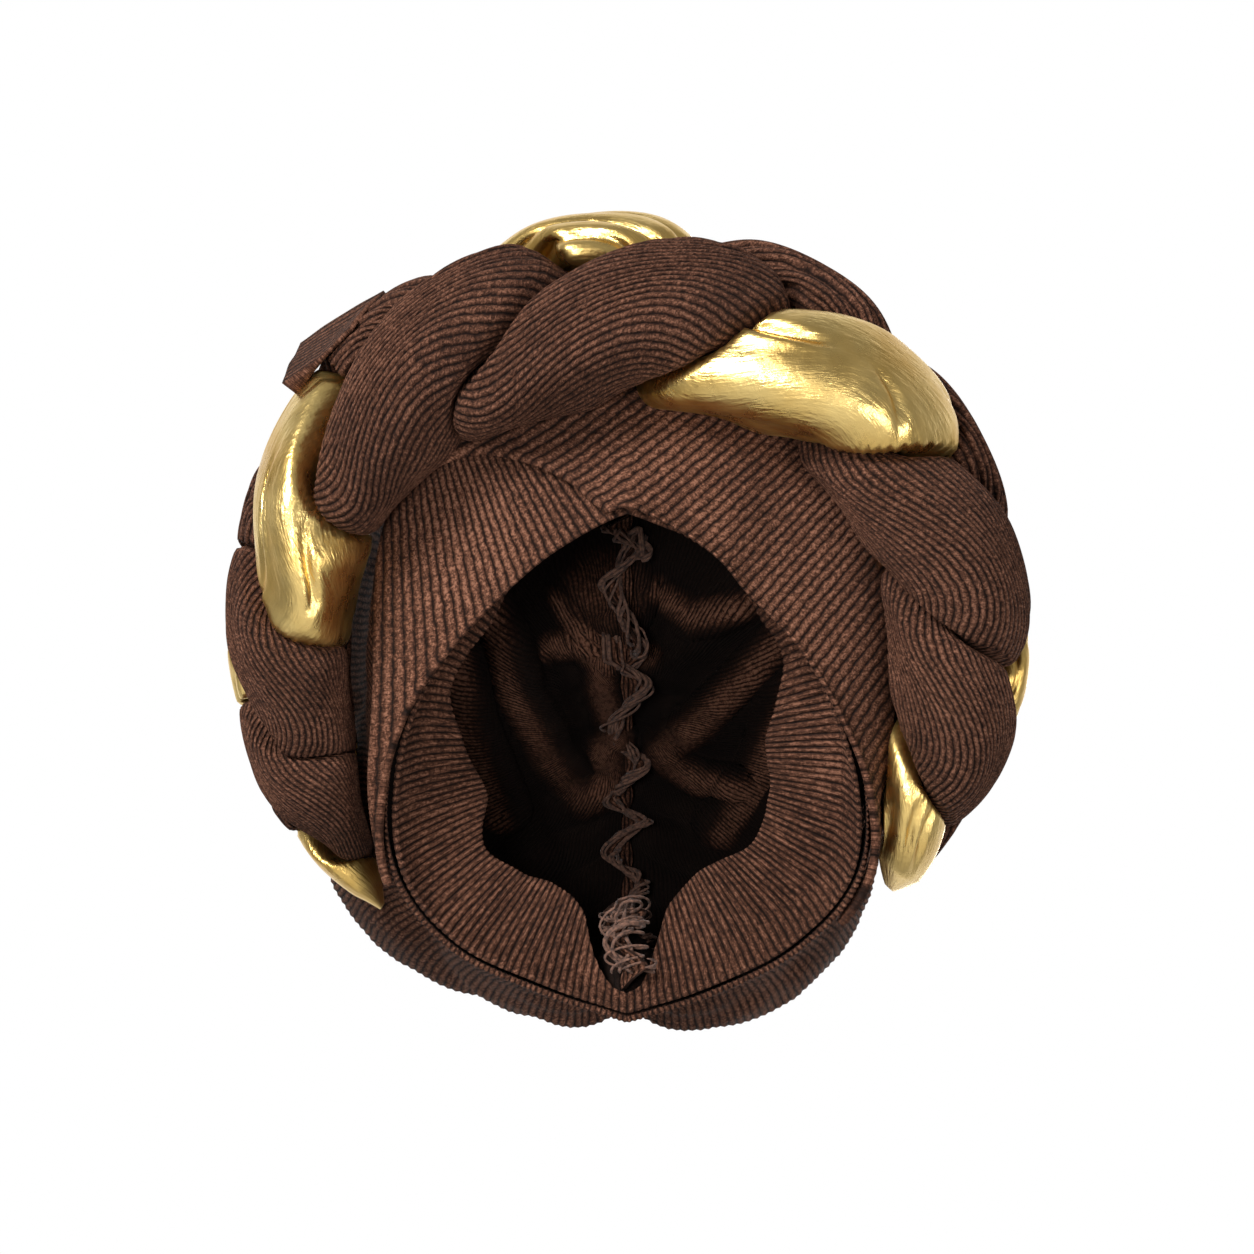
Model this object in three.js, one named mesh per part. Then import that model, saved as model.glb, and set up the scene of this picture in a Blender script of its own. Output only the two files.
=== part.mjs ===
import * as THREE from "three";

// Head wrap: a hollow ribbed cap, two crossed front bands and a padded three-strand braid.
// Millimetres. +Z is up through the crown, -Y is the face side, +X is right as seen from the front.
// The origin is the middle of the head opening.

// Wearing tilt: the hem is higher at the forehead than at the nape.
const HEM_TILT = 27.13;

// Cloth
const CLOTH = 2.4;
const AIR = 0.85;

// Cap grid
const CAP_AROUND = 48;
const CAP_RISE = 14;
const CAP_BACK_DENSER = 0.42;

// Hem outline: distance of the edge from the middle of the opening, by angle from the front.
const HEM = [
  { angle: 0, left: 90, right: 90 },
  { angle: 15, left: 82, right: 83 },
  { angle: 35, left: 75, right: 74.5 },
  { angle: 55, left: 74, right: 73.5 },
  { angle: 75, left: 78, right: 75.5 },
  { angle: 95, left: 83.5, right: 83 },
  { angle: 115, left: 90.5, right: 91 },
  { angle: 135, left: 89.5, right: 89 },
  { angle: 155, left: 85.5, right: 86 },
  { angle: 172, left: 87, right: 87.5 },
  { angle: 180, left: 90, right: 90 },
];

// Cap outlines above the hem: reach to the front and back, half width, squareness of the curve.
const CAP_LEVELS = [
  { height: 26, front: 124, back: 87, side: 92, square: 2.45 },
  { height: 50, front: 136, back: 95, side: 92.5, square: 2.4 },
  { height: 68, front: 137, back: 103, side: 96, square: 2.3 },
  { height: 88, front: 132, back: 106, side: 104, square: 2.2 },
  { height: 112, front: 115, back: 99, side: 100, square: 2.1 },
  { height: 134, front: 87, back: 84, side: 82, square: 2 },
  { height: 150, front: 53, back: 58, side: 55, square: 2 },
  { height: 159, front: 20, back: 30, side: 27, square: 2 },
];
const CAP_TOP = 161.5;

// Centre seam, from the nape up the back and over the crown: how far it draws the cloth in, and
// the gathers that it throws to both sides.
const SEAM_PULL = 5;
const SEAM_PULL_WIDTH = 9;
const GATHER_DEPTH = 2.4;
const GATHER_PITCH = 17;
const GATHER_REACH = 30;
const GATHER_SLANT = 0.45;
const SEAM_HUB_HEIGHT = 70;

// Just above the nape the seam is drawn further in.
const NAPE_PULL = { height: 40, half: 24, depth: 20, width: 12 };

// Inner cuff: a loose band inside the hem that leans inwards, by angle from the front. Right and
// left: reach of its free edge. The height is that of the free edge.
const CUFF = [
  { angle: 0, left: 80, right: 80, height: 30 },
  { angle: 30, left: 70, right: 70, height: 32 },
  { angle: 56, left: 67, right: 66, height: 33 },
  { angle: 70, left: 66, right: 57, height: 33 },
  { angle: 84, left: 58.5, right: 50, height: 32 },
  { angle: 106, left: 52, right: 52, height: 31 },
  { angle: 123, left: 64, right: 54.5, height: 30 },
  { angle: 138, left: 58.5, right: 50, height: 30 },
  { angle: 150, left: 53, right: 48.5, height: 30 },
  { angle: 164, left: 57, right: 54.5, height: 27 },
  { angle: 171, left: 71, right: 66, height: 16 },
  { angle: 176, left: 78, right: 77, height: 7 },
  { angle: 180, left: 80, right: 80, height: 4.5 },
];
const CUFF_AROUND = 48;
const CUFF_RISE = 4;
const CUFF_BOW = 5;
const CUFF_LOW = 1.6;
const CUFF_AIR = 2.2;

// Soft folds and puffs of the wall, by angle and height: how each leans, how wide, long and deep
// it is. A puff has a depth below zero.
const WALL_FOLDS = [
  { angle: -126, height: 84, lean: 0, width: 34, length: 38, depth: -17 },
  { angle: 150, height: 84, lean: 0, width: 32, length: 36, depth: -8 },
  { angle: -146, height: 60, lean: -0.7, width: 8, length: 30, depth: 4.5 },
  { angle: 128, height: 64, lean: -0.4, width: 8, length: 34, depth: 4.5 },
  { angle: 108, height: 30, lean: 0.25, width: 7, length: 32, depth: 4 },
];

// Folds of the crown that hang inwards, each from one place in plan to another.
const CROWN_FOLDS = [
  { fromX: -52, fromP: 42, toX: -13, toP: -34, width: 7, depth: 8 },
  { fromX: -66, fromP: 8, toX: -34, toP: -58, width: 7, depth: 6 },
  { fromX: -34, fromP: 66, toX: -8, toP: 40, width: 6, depth: 5 },
  { fromX: 14, fromP: 14, toX: 52, toP: 50, width: 7, depth: 6 },
  { fromX: 16, fromP: -22, toX: 62, toP: 12, width: 8, depth: 6 },
  { fromX: 14, fromP: -52, toX: 58, toP: -36, width: 7, depth: 5 },
];

// Front bands: by angle, how high each edge lies on the cap. Left of the front is negative.
const BAND_UNDER = [
  { angle: -116, low: -1.5, high: 7 },
  { angle: -100, low: -2, high: 12 },
  { angle: -78, low: -2, high: 17 },
  { angle: -55, low: -2, high: 30 },
  { angle: -30, low: -2, high: 40 },
  { angle: 0, low: -2, high: 40 },
  { angle: 18, low: 2, high: 36 },
];
const BAND_OVER = [
  { angle: -52, low: 29, high: 43 },
  { angle: -31, low: 22, high: 45 },
  { angle: -23, low: 17.5, high: 48 },
  { angle: -12, low: 9.5, high: 48 },
  { angle: -2, low: -1, high: 46 },
  { angle: 12, low: -2.5, high: 44 },
  { angle: 40, low: -2.5, high: 42 },
  { angle: 70, low: -2.5, high: 34 },
  { angle: 95, low: -2, high: 22 },
  { angle: 112, low: -2, high: 12 },
  { angle: 126, low: -1.5, high: 5 },
];

// Braid ring: middle, and by lobe the angle from the front, reach, rise, lean and skew of the
// braid, how far its strands lag in their swing across, and its half width and half depth.
const RING_FRONT = 39.7;
const RING_RISE = 33.6;
const LOBES = [
  { lobe: -0.5, angle: -145, reach: 139, rise: 10, lean: 0, skew: 0, lag: 15, wide: 8, deep: 6 },
  { lobe: 0, angle: -134, reach: 128, rise: 5, lean: 0, skew: 0, lag: 15, wide: 17, deep: 8.5 },
  { lobe: 1, angle: -114, reach: 121, rise: 1, lean: 0, skew: 0, lag: 18, wide: 39, deep: 18.5 },
  { lobe: 2, angle: -92, reach: 119.5, rise: 0, lean: 0, skew: 0.1, lag: 18, wide: 44, deep: 22 },
  { lobe: 3, angle: -67.5, reach: 120.5, rise: 0, lean: 3, skew: 0.25, lag: 18, wide: 46, deep: 24.5 },
  { lobe: 4, angle: -37.5, reach: 121, rise: 0, lean: 9, skew: 0.5, lag: 12, wide: 52, deep: 29 },
  { lobe: 5, angle: -2.5, reach: 118.5, rise: 0, lean: 14, skew: 0.4, lag: -8, wide: 53, deep: 32 },
  { lobe: 6, angle: 31, reach: 119.5, rise: 0, lean: 12, skew: 0.15, lag: -14, wide: 51, deep: 30 },
  { lobe: 7, angle: 64.5, reach: 117.5, rise: 0, lean: 6, skew: 0, lag: -14, wide: 48, deep: 27.5 },
  { lobe: 8, angle: 98, reach: 117, rise: 0, lean: 0, skew: 0, lag: -12, wide: 46, deep: 26 },
  { lobe: 9, angle: 124, reach: 117.5, rise: 3, lean: 0, skew: 0, lag: -10, wide: 34, deep: 17.5 },
  { lobe: 9.6, angle: 139, reach: 128, rise: 11, lean: 0, skew: 0, lag: -10, wide: 10, deep: 7 },
];

// Lobes that press their neighbours aside.
const BULKY_LOBES = [
  { lobe: 2, more: 3, long: 0.7 },
  { lobe: 4, more: 8, long: 0.8 },
  { lobe: 5, more: 4, long: 0.6 },
  { lobe: 7, more: 3, long: 0.7 },
  { lobe: 8, more: 4, long: 0.7 },
];
const SWING = 0.44;
const WEAVE = 0.44;
const STRAND_WIDE = 0.62;
const STRAND_GAP = 0.7;
const CAP_CLEARANCE = 1.3;
const ROUNDNESS = 13;
const STRAND_SIDES = 12;
const STRAND_SECTIONS = 80;
const STRANDS = [
  { name: "strand_gold", lobe: 0, colour: "gold" },
  { name: "strand_brown_a", lobe: 1, colour: "brown" },
  { name: "strand_brown_b", lobe: 2, colour: "brown" },
];

// Seam ruffle inside the centre back
const RUFFLE_TALL = 8.5;
const RUFFLE_THICK = 1.6;
const RUFFLE_WAVE = 3.6;
const RUFFLE_WAVES = 15;
const RUFFLE_SECTIONS = 72;
const RUFFLE_START = 13;

// Folded flat end of fabric on the outer side of the braid, upper left
const TAB = { root: 4.12, tip: 3.6, low: -4, high: 26, rootOut: 26, tipOut: 31, thick: 9 };
const TAB_STEPS = 6;

const radians = (degrees) => (degrees * Math.PI) / 180;
const TILT_COS = Math.cos(radians(HEM_TILT));
const TILT_SIN = Math.sin(radians(HEM_TILT));

// Smooth value of one column of a table at x.
function column(rows, key, name, x) {
  let i = 0;
  while (i < rows.length - 2 && x > rows[i + 1][key]) i++;
  const a = rows[i];
  const b = rows[i + 1];
  const before = rows[Math.max(i - 1, 0)];
  const after = rows[Math.min(i + 2, rows.length - 1)];
  const step = b[key] - a[key];
  const f = Math.min(Math.max((x - a[key]) / step, 0), 1);
  const slopeA = ((b[name] - before[name]) / (b[key] - before[key])) * step;
  const slopeB = ((after[name] - a[name]) / (after[key] - a[key])) * step;
  const f2 = f * f;
  const f3 = f2 * f;
  return (
    (2 * f3 - 3 * f2 + 1) * a[name] +
    (f3 - 2 * f2 + f) * slopeA +
    (3 * f2 - 2 * f3) * b[name] +
    (f3 - f2) * slopeB
  );
}

// From across, forward and height above the hem plane to the wrap's own frame.
function place(across, forward, height) {
  return [
    across,
    height * TILT_SIN - forward * TILT_COS,
    forward * TILT_SIN + height * TILT_COS,
  ];
}

// One closed solid from points and faces, turned outwards.
function closedMesh(name, points, faces, material) {
  let volume = 0;
  for (const [a, b, c] of faces) {
    const [p, q, r] = [points[a], points[b], points[c]];
    volume += p[0] * (q[1] * r[2] - q[2] * r[1]);
    volume += p[1] * (q[2] * r[0] - q[0] * r[2]);
    volume += p[2] * (q[0] * r[1] - q[1] * r[0]);
  }
  const index = faces.flatMap((f) => (volume > 0 ? f : [f[0], f[2], f[1]]));
  const geometry = new THREE.BufferGeometry();
  geometry.setAttribute("position", new THREE.Float32BufferAttribute(points.flat(), 3));
  geometry.setIndex(index);
  geometry.computeVertexNormals();
  const mesh = new THREE.Mesh(geometry, material);
  mesh.name = name;
  return mesh;
}

// A solid from a row of closed rings of equal count, with both ends closed by a middle point.
function ringSolid(name, rings, material) {
  const points = rings.flat();
  const faces = [];
  const n = rings[0].length;
  for (let i = 0; i < rings.length - 1; i++) {
    for (let j = 0; j < n; j++) {
      const k = (j + 1) % n;
      const a = i * n + j;
      const b = i * n + k;
      const c = (i + 1) * n + k;
      const d = (i + 1) * n + j;
      faces.push([a, b, c], [a, c, d]);
    }
  }
  const ends = [rings[0], rings[rings.length - 1]];
  ends.forEach((ring, e) => {
    const middle = [0, 1, 2].map((i) => ring.reduce((s, p) => s + p[i], 0) / n);
    const m = points.push(middle) - 1;
    const base = e === 0 ? 0 : (rings.length - 1) * n;
    for (let j = 0; j < n; j++) {
      const k = (j + 1) % n;
      faces.push(e === 0 ? [m, base + k, base + j] : [m, base + j, base + k]);
    }
  });
  return closedMesh(name, points, faces, material);
}

// A closed loop of rings of equal count.
function loopSolid(name, rings, material) {
  const faces = [];
  const [n, m] = [rings[0].length, rings.length];
  for (let i = 0; i < m; i++) {
    const next = (i + 1) % m;
    for (let j = 0; j < n; j++) {
      const k = (j + 1) % n;
      const [a, b, c, d] = [i * n + j, i * n + k, next * n + k, next * n + j];
      faces.push([a, b, c], [a, c, d]);
    }
  }
  return closedMesh(name, rings.flat(), faces, material);
}

// Signed angle in degrees between -180 and 180.
function turned(angle) {
  return angle - 360 * Math.round(angle / 360);
}

// Reach of the hem edge from the middle of the opening.
function hemReach(angle) {
  const a = turned(angle);
  return column(HEM, "angle", a < 0 ? "left" : "right", Math.abs(a));
}

// Outline of the cap at one height: its middle and its reach from there.
function levelReach(row, angle) {
  const middle = (row.front - row.back) / 2;
  const along = (row.front + row.back) / 2;
  const s = Math.abs(Math.sin(radians(angle))) / row.side;
  const c = Math.abs(Math.cos(radians(angle))) / along;
  const reach = (s ** row.square + c ** row.square) ** (-1 / row.square);
  return { height: row.height, middle, reach };
}

// Rows of middle and reach of the cap by height along one angle.
function capRows(angle) {
  const first = { height: 0, middle: 0, reach: hemReach(angle) };
  const top = CAP_LEVELS[CAP_LEVELS.length - 1];
  const last = levelReach(top, angle);
  const tip = { height: CAP_TOP, middle: last.middle, reach: 0 };
  return [first, ...CAP_LEVELS.map((row) => levelReach(row, angle)), tip];
}

// How far the cloth of the cap is drawn inwards by the centre seam, its gathers and the folds.
function capPull(angle, point) {
  const [x, p, height] = point;
  const up = Math.min(Math.max(height / 30, 0), 1);
  const raw = Math.atan2(height - SEAM_HUB_HEIGHT, -p);
  const hub = raw < -Math.PI / 2 ? raw + 2 * Math.PI : raw;
  const behind = Math.min(Math.max((2.5 - hub) / 0.5, 0), 1);
  const away = Math.abs(x);
  let pull = SEAM_PULL * up * behind * Math.exp(-((away / SEAM_PULL_WIDTH) ** 2));
  const nape = Math.exp(-(((height - NAPE_PULL.height) / NAPE_PULL.half) ** 2));
  const narrow = Math.exp(-((away / NAPE_PULL.width) ** 2));
  pull += NAPE_PULL.depth * up * behind * nape * narrow;
  const along = hub * 95 + GATHER_SLANT * away;
  const spread = Math.exp(-((away / GATHER_REACH) ** 2)) * (1 - Math.exp(-((away / 7) ** 2)));
  pull += GATHER_DEPTH * up * behind * spread * (1 + Math.cos((2 * Math.PI * along) / GATHER_PITCH));
  for (const fold of WALL_FOLDS) {
    const rise = height - fold.height;
    const side = turned(angle - fold.angle) * 1.6 - fold.lean * rise;
    pull += fold.depth * up * Math.exp(-((side / fold.width) ** 2) - (rise / fold.length) ** 4);
  }
  const crown = Math.min(Math.max((height - 96) / 30, 0), 1);
  for (const fold of CROWN_FOLDS) {
    const [dx, dp] = [fold.toX - fold.fromX, fold.toP - fold.fromP];
    const long = Math.hypot(dx, dp);
    const f = ((x - fold.fromX) * dx + (p - fold.fromP) * dp) / long ** 2;
    const end = Math.max(-f, f - 1, 0) * long;
    const side = ((x - fold.fromX) * dp - (p - fold.fromP) * dx) / long;
    pull += fold.depth * crown * Math.exp(-((Math.hypot(side, end * 0.7) / fold.width) ** 2));
  }
  return pull;
}

// A point of the cap's plain outer form, before folds.
function plainPoint(angle, height) {
  const rows = capRows(angle);
  const h = Math.max(height, 0);
  const reach = Math.max(column(rows, "height", "reach", h), 0);
  const middle = column(rows, "height", "middle", h);
  const a = radians(angle);
  return [reach * Math.sin(a), middle + reach * Math.cos(a), height];
}

// Outward direction of a surface given by angle and height.
function outward(surface, angle, height) {
  const step = 0.6;
  const [a, b] = [surface(angle - step, height), surface(angle + step, height)];
  const [c, d] = [surface(angle, Math.max(height - step, 0)), surface(angle, height + step)];
  const u = [b[0] - a[0], b[1] - a[1], b[2] - a[2]];
  const v = [d[0] - c[0], d[1] - c[1], d[2] - c[2]];
  const n = [v[1] * u[2] - v[2] * u[1], v[2] * u[0] - v[0] * u[2], v[0] * u[1] - v[1] * u[0]];
  const size = Math.hypot(...n);
  return n.map((x) => x / size);
}

// A point of the cap's outer face.
function capPoint(angle, height) {
  const plain = plainPoint(angle, height);
  const normal = outward(plainPoint, angle, Math.max(height, 0));
  const pull = capPull(angle, plain);
  return plain.map((x, i) => x - normal[i] * pull);
}

// Outward direction of the cap's outer face.
function capNormal(angle, height) {
  return outward(capPoint, angle, height);
}

// The hood: outer face, inner face one cloth thickness in, joined by a round hem edge.
function cap(material) {
  const points = [];
  const faces = [];
  const height = (i) => CAP_TOP * 0.985 * Math.sin((Math.PI / 2) * (i / CAP_RISE)) ** 1.05;
  const outer = [];
  const inner = [];
  for (let i = 0; i <= CAP_RISE; i++) {
    const h = height(i);
    const outRow = [];
    const inRow = [];
    for (let j = 0; j < CAP_AROUND; j++) {
      const turn = (2 * Math.PI * j) / CAP_AROUND;
      const angle = ((turn + CAP_BACK_DENSER * Math.sin(turn)) * 180) / Math.PI;
      const p = capPoint(angle, h);
      const n = capNormal(angle, h);
      const inset = p.map((x, k) => x - CLOTH * n[k]);
      if (i === 0) inset[2] = 0;
      outRow.push(points.push(place(...p)) - 1);
      inRow.push(points.push(place(...inset)) - 1);
    }
    outer.push(outRow);
    inner.push(inRow);
  }
  for (let j = 0; j < CAP_AROUND; j++) {
    const k = (j + 1) % CAP_AROUND;
    for (let i = 0; i < CAP_RISE; i++) {
      const [a, b, c, d] = [outer[i][j], outer[i][k], outer[i + 1][k], outer[i + 1][j]];
      faces.push([a, b, c], [a, c, d]);
      const [e, f, g, h] = [inner[i][j], inner[i][k], inner[i + 1][k], inner[i + 1][j]];
      faces.push([e, g, f], [e, h, g]);
    }
    faces.push([outer[0][j], inner[0][j], inner[0][k]], [outer[0][j], inner[0][k], outer[0][k]]);
  }
  const middle = column(capRows(0), "height", "middle", CAP_TOP);
  const top = points.push(place(0, middle, CAP_TOP)) - 1;
  const under = points.push(place(0, middle, CAP_TOP - CLOTH)) - 1;
  for (let j = 0; j < CAP_AROUND; j++) {
    const k = (j + 1) % CAP_AROUND;
    faces.push([outer[CAP_RISE][j], outer[CAP_RISE][k], top]);
    faces.push([inner[CAP_RISE][k], inner[CAP_RISE][j], under]);
  }
  return closedMesh("cap", points, faces, material);
}

// The loose band inside the hem: it rises from the hem and leans inwards, a little bowed.
function innerCuff(material) {
  const rings = [];
  for (let i = 0; i < CUFF_AROUND; i++) {
    const turn = (360 * i) / CUFF_AROUND;
    const angle = turned(turn + ((CAP_BACK_DENSER * 180) / Math.PI) * Math.sin(radians(turn)));
    const side = angle < 0 ? "left" : "right";
    const reach = column(CUFF, "angle", side, Math.abs(angle));
    const height = column(CUFF, "angle", "height", Math.abs(angle));
    const from = hemReach(angle) - 2 * CLOTH - CUFF_AIR;
    const [dr, dh] = [reach - from, height - CUFF_LOW];
    const long = Math.hypot(dr, dh);
    const [a, b] = [Math.sin(radians(angle)), Math.cos(radians(angle))];
    const under = [];
    const over = [];
    for (let j = 0; j <= CUFF_RISE; j++) {
      const f = j / CUFF_RISE;
      const bow = 4 * CUFF_BOW * f * (1 - f) * Math.min(long / 30, 1);
      const r = from + dr * f + (dh / long) * bow;
      const h = CUFF_LOW + dh * f - (dr / long) * bow;
      under.push(place(r * a, r * b, h));
      const [outR, outH] = [r + (dh / long) * CLOTH, h - (dr / long) * CLOTH];
      over.push(place(outR * a, outR * b, outH));
    }
    rings.push([...under, ...over.reverse()]);
  }
  return loopSolid("inner_cuff", rings, material);
}

// How far a band stands off the cap at one angle, over what lies beneath it.
function bandLift(rows, angle) {
  if (rows === BAND_UNDER) return AIR;
  const a = Math.min(Math.max((34 - angle) / 11, 0), 1);
  return AIR + (CLOTH + AIR) * a * a * (3 - 2 * a);
}

// A band laid round the front of the cap, with a soft rounded fold as its lower edge.
function band(name, rows, sections, material) {
  const rings = [];
  const last = rows[rows.length - 1].angle;
  for (let i = 0; i <= sections; i++) {
    const angle = rows[0].angle + ((last - rows[0].angle) * i) / sections;
    const low = column(rows, "angle", "low", angle);
    const high = column(rows, "angle", "high", angle);
    const steps = 5;
    const near = [];
    const far = [];
    for (let j = 0; j <= steps; j++) {
      const h = low + ((high - low) * j) / steps;
      const on = capPoint(angle, h);
      const normal = capNormal(angle, Math.max(h, 3));
      const edge = j === 0 ? 0.35 : 0;
      const lift = bandLift(rows, angle);
      near.push(place(...on.map((x, k) => x + normal[k] * (lift + edge * CLOTH))));
      far.push(place(...on.map((x, k) => x + normal[k] * (lift + CLOTH * (1 - edge)))));
    }
    rings.push([...near, ...far.reverse()]);
  }
  return ringSolid(name, rings, material);
}

// The braid's frame at one lobe value, and the room it has there.
function braidAt(t) {
  const at = (name) => column(LOBES, "lobe", name, t);
  const angle = radians(at("angle"));
  const lean = radians(at("lean"));
  const skew = at("skew");
  const radial = [Math.sin(angle), Math.cos(angle), 0];
  const onward = [Math.cos(angle), -Math.sin(angle), 0];
  const across = [0, 1, 2].map(
    (i) => (i === 2 ? Math.cos(lean) : Math.sin(lean) * radial[i]) + skew * onward[i],
  );
  const out = [Math.cos(lean) * radial[0], Math.cos(lean) * radial[1], -Math.sin(lean)];
  const reach = at("reach");
  const middle = [
    reach * radial[0],
    RING_FRONT + reach * radial[1],
    RING_RISE + at("rise"),
  ];
  return {
    middle,
    across,
    out,
    lag: radians(at("lag")),
    wide: at("wide"),
    deep: at("deep"),
  };
}

// A point of the braid's section, from its offset across and outward.
function inBraid(frame, across, out) {
  return frame.middle.map((m, i) => m + frame.across[i] * across + frame.out[i] * out);
}

// Middle of one strand within the braid's section, as its offset across and outward.
function strandMiddle(frame, strand, t) {
  const phase = (2 * Math.PI * (t - strand.lobe)) / 3;
  return [
    -SWING * frame.wide * Math.cos(phase + frame.lag),
    WEAVE * frame.deep * Math.sin(2 * phase),
  ];
}

// How far outside the cap and its bands a point lies.
function outsideCap(point) {
  const [x, y, height] = point;
  if (height > CAP_TOP) return 50;
  const h = Math.max(height, 0);
  const middle = column(capRows(0), "height", "middle", h);
  const angle = (Math.atan2(x, y - middle) * 180) / Math.PI;
  let level = h;
  let normal = outward(plainPoint, angle, level);
  let face = plainPoint(angle, level);
  for (let i = 0; i < 3; i++) {
    const pull = capPull(angle, plainPoint(angle, level));
    normal = outward(plainPoint, angle, level);
    face = plainPoint(angle, level).map((v, k) => v - normal[k] * pull);
    level = Math.min(Math.max(level + (h - face[2]), 0), CAP_TOP - 1);
  }
  const layers = angle > -60 && angle < 34 ? 2 : 1;
  const bands = Math.abs(angle) < 128 && height < 52 ? layers * (CLOTH + AIR) : 0;
  const beyond = Math.hypot(x, y - middle) - Math.hypot(face[0], face[1] - middle);
  return beyond * Math.hypot(normal[0], normal[1]) - bands;
}

// How far along a ray from a point inside the braid its outline lies.
function roomInBraid(frame, own, ray) {
  const [w, d] = [frame.wide ** 2, frame.deep ** 2];
  const a = ray[0] ** 2 / w + ray[1] ** 2 / d;
  const b = (ray[0] * own[0]) / w + (ray[1] * own[1]) / d;
  const c = own[0] ** 2 / w + own[1] ** 2 / d - 1;
  return (Math.sqrt(b * b - a * c) - b) / a;
}

// How strongly a strand presses its neighbours aside at one lobe value.
function bulk(strand, t) {
  const own = BULKY_LOBES.filter((row) => (row.lobe - strand.lobe) % 3 === 0);
  return own.reduce((sum, row) => sum + row.more * Math.exp(-(((t - row.lobe) / row.long) ** 2)), 0);
}

// How far along a ray from a strand's middle another strand lets it go, at a lobe value nearby.
function roomBeside(strand, other, t, own, ray) {
  const frame = braidAt(t);
  const [a, b] = [strandMiddle(frame, strand, t), strandMiddle(frame, other, t)];
  const way = [b[0] - a[0], b[1] - a[1]];
  const apart = Math.hypot(...way);
  const toward = (ray[0] * way[0] + ray[1] * way[1]) / apart;
  if (toward < 0.02) return 1e6;
  const offset = ((a[0] + b[0]) / 2 - own[0]) * way[0] + ((a[1] + b[1]) / 2 - own[1]) * way[1];
  const press = Math.min(Math.max(bulk(strand, t) - bulk(other, t), 6 - apart), apart - 6) / 2;
  return Math.max(offset / apart + press - STRAND_GAP / 2, 0.8) / toward;
}

// The farthest distance short of a limit at which a test still holds.
function farthest(holds, limit) {
  let low = 0;
  let high = limit;
  for (let k = 0; k < 14; k++) {
    const mid = (low + high) / 2;
    if (holds(mid)) low = mid;
    else high = mid;
  }
  return low;
}

// One section of a strand: round where it is free, flattened where it meets its neighbours.
function strandSection(strand, t, step) {
  const frame = braidAt(t);
  const own = strandMiddle(frame, strand, t);
  const others = STRANDS.filter((s) => s !== strand);
  const at = (r, ray) => inBraid(frame, own[0] + ray[0] * r, own[1] + ray[1] * r);
  const ring = [];
  for (let j = 0; j < STRAND_SIDES; j++) {
    const turn = (2 * Math.PI * j) / STRAND_SIDES;
    const ray = [Math.cos(turn), Math.sin(turn)];
    let sum = roomInBraid(frame, own, ray) ** -ROUNDNESS;
    sum += (STRAND_WIDE * frame.wide) ** -ROUNDNESS;
    for (const other of others) {
      const rooms = [t - step, t, t + step].map((x) => roomBeside(strand, other, x, own, ray));
      sum += Math.min(...rooms) ** -ROUNDNESS;
    }
    let reach = sum ** (-1 / ROUNDNESS);
    const free = (r) => outsideCap(at(r, ray)) > CAP_CLEARANCE;
    if (!free(reach)) reach = Math.max(farthest(free, reach), 1);
    ring.push(place(...at(reach, ray)));
  }
  return ring;
}

// A padded strand of the braid from end to end.
function strandSolid(strand, material) {
  const first = LOBES[0].lobe;
  const last = LOBES[LOBES.length - 1].lobe;
  const step = (last - first) / STRAND_SECTIONS;
  const rings = [];
  for (let i = 0; i <= STRAND_SECTIONS; i++) {
    const t = first + step * i;
    rings.push(strandSection(strand, t, step));
  }
  return ringSolid(strand.name, rings, material);
}

// The seam's path inside the cap, up the back and over the crown, at even steps of its length.
function seamPath(count) {
  const fine = [];
  const steps = 160;
  for (let i = 0; i <= steps; i++) {
    const share = Math.sin((Math.PI / 2) * (i / steps));
    fine.push([180, RUFFLE_START + (CAP_TOP - 3 - RUFFLE_START) * share]);
  }
  for (let i = 0; i <= steps / 4; i++) {
    fine.push([0, CAP_TOP - 3 - (CAP_TOP - 141) * (i / steps) * 4]);
  }
  const points = fine.map(([angle, height]) => capPoint(angle, height));
  const lengths = [0];
  for (let i = 1; i < points.length; i++) {
    const step = Math.hypot(points[i][1] - points[i - 1][1], points[i][2] - points[i - 1][2]);
    lengths.push(lengths[i - 1] + step);
  }
  const total = lengths[lengths.length - 1];
  const path = [];
  let k = 0;
  for (let i = 0; i <= count; i++) {
    const want = (total * i) / count;
    while (k < lengths.length - 2 && lengths[k + 1] < want) k++;
    const f = (want - lengths[k]) / Math.max(lengths[k + 1] - lengths[k], 1e-6);
    path.push(points[k].map((x, c) => x + (points[k + 1][c] - x) * f));
  }
  return path;
}

// The standing seam allowance: a strip on edge that waves from side to side along its free edge.
function centreSeam(material) {
  const rings = [];
  const path = seamPath(RUFFLE_SECTIONS);
  for (let i = 0; i <= RUFFLE_SECTIONS; i++) {
    const share = i / RUFFLE_SECTIONS;
    const [a, b] = [path[Math.max(i - 1, 0)], path[Math.min(i + 1, RUFFLE_SECTIONS)]];
    const long = Math.hypot(b[1] - a[1], b[2] - a[2]);
    const inward = [(b[2] - a[2]) / long, -(b[1] - a[1]) / long];
    const wave = RUFFLE_WAVE * Math.sin(2 * Math.PI * RUFFLE_WAVES * share);
    const ring = [];
    for (const [side, depth] of [[-1, 0], [-1, 0.55], [-1, 1], [1, 1], [1, 0.55], [1, 0]]) {
      const inset = CLOTH + 2 * AIR + RUFFLE_TALL * depth;
      const across = (side * RUFFLE_THICK) / 2 + wave * depth;
      ring.push(place(across, path[i][1] + inward[0] * inset, path[i][2] + inward[1] * inset));
    }
    rings.push(ring);
  }
  return ringSolid("centre_seam", rings, material);
}

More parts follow.
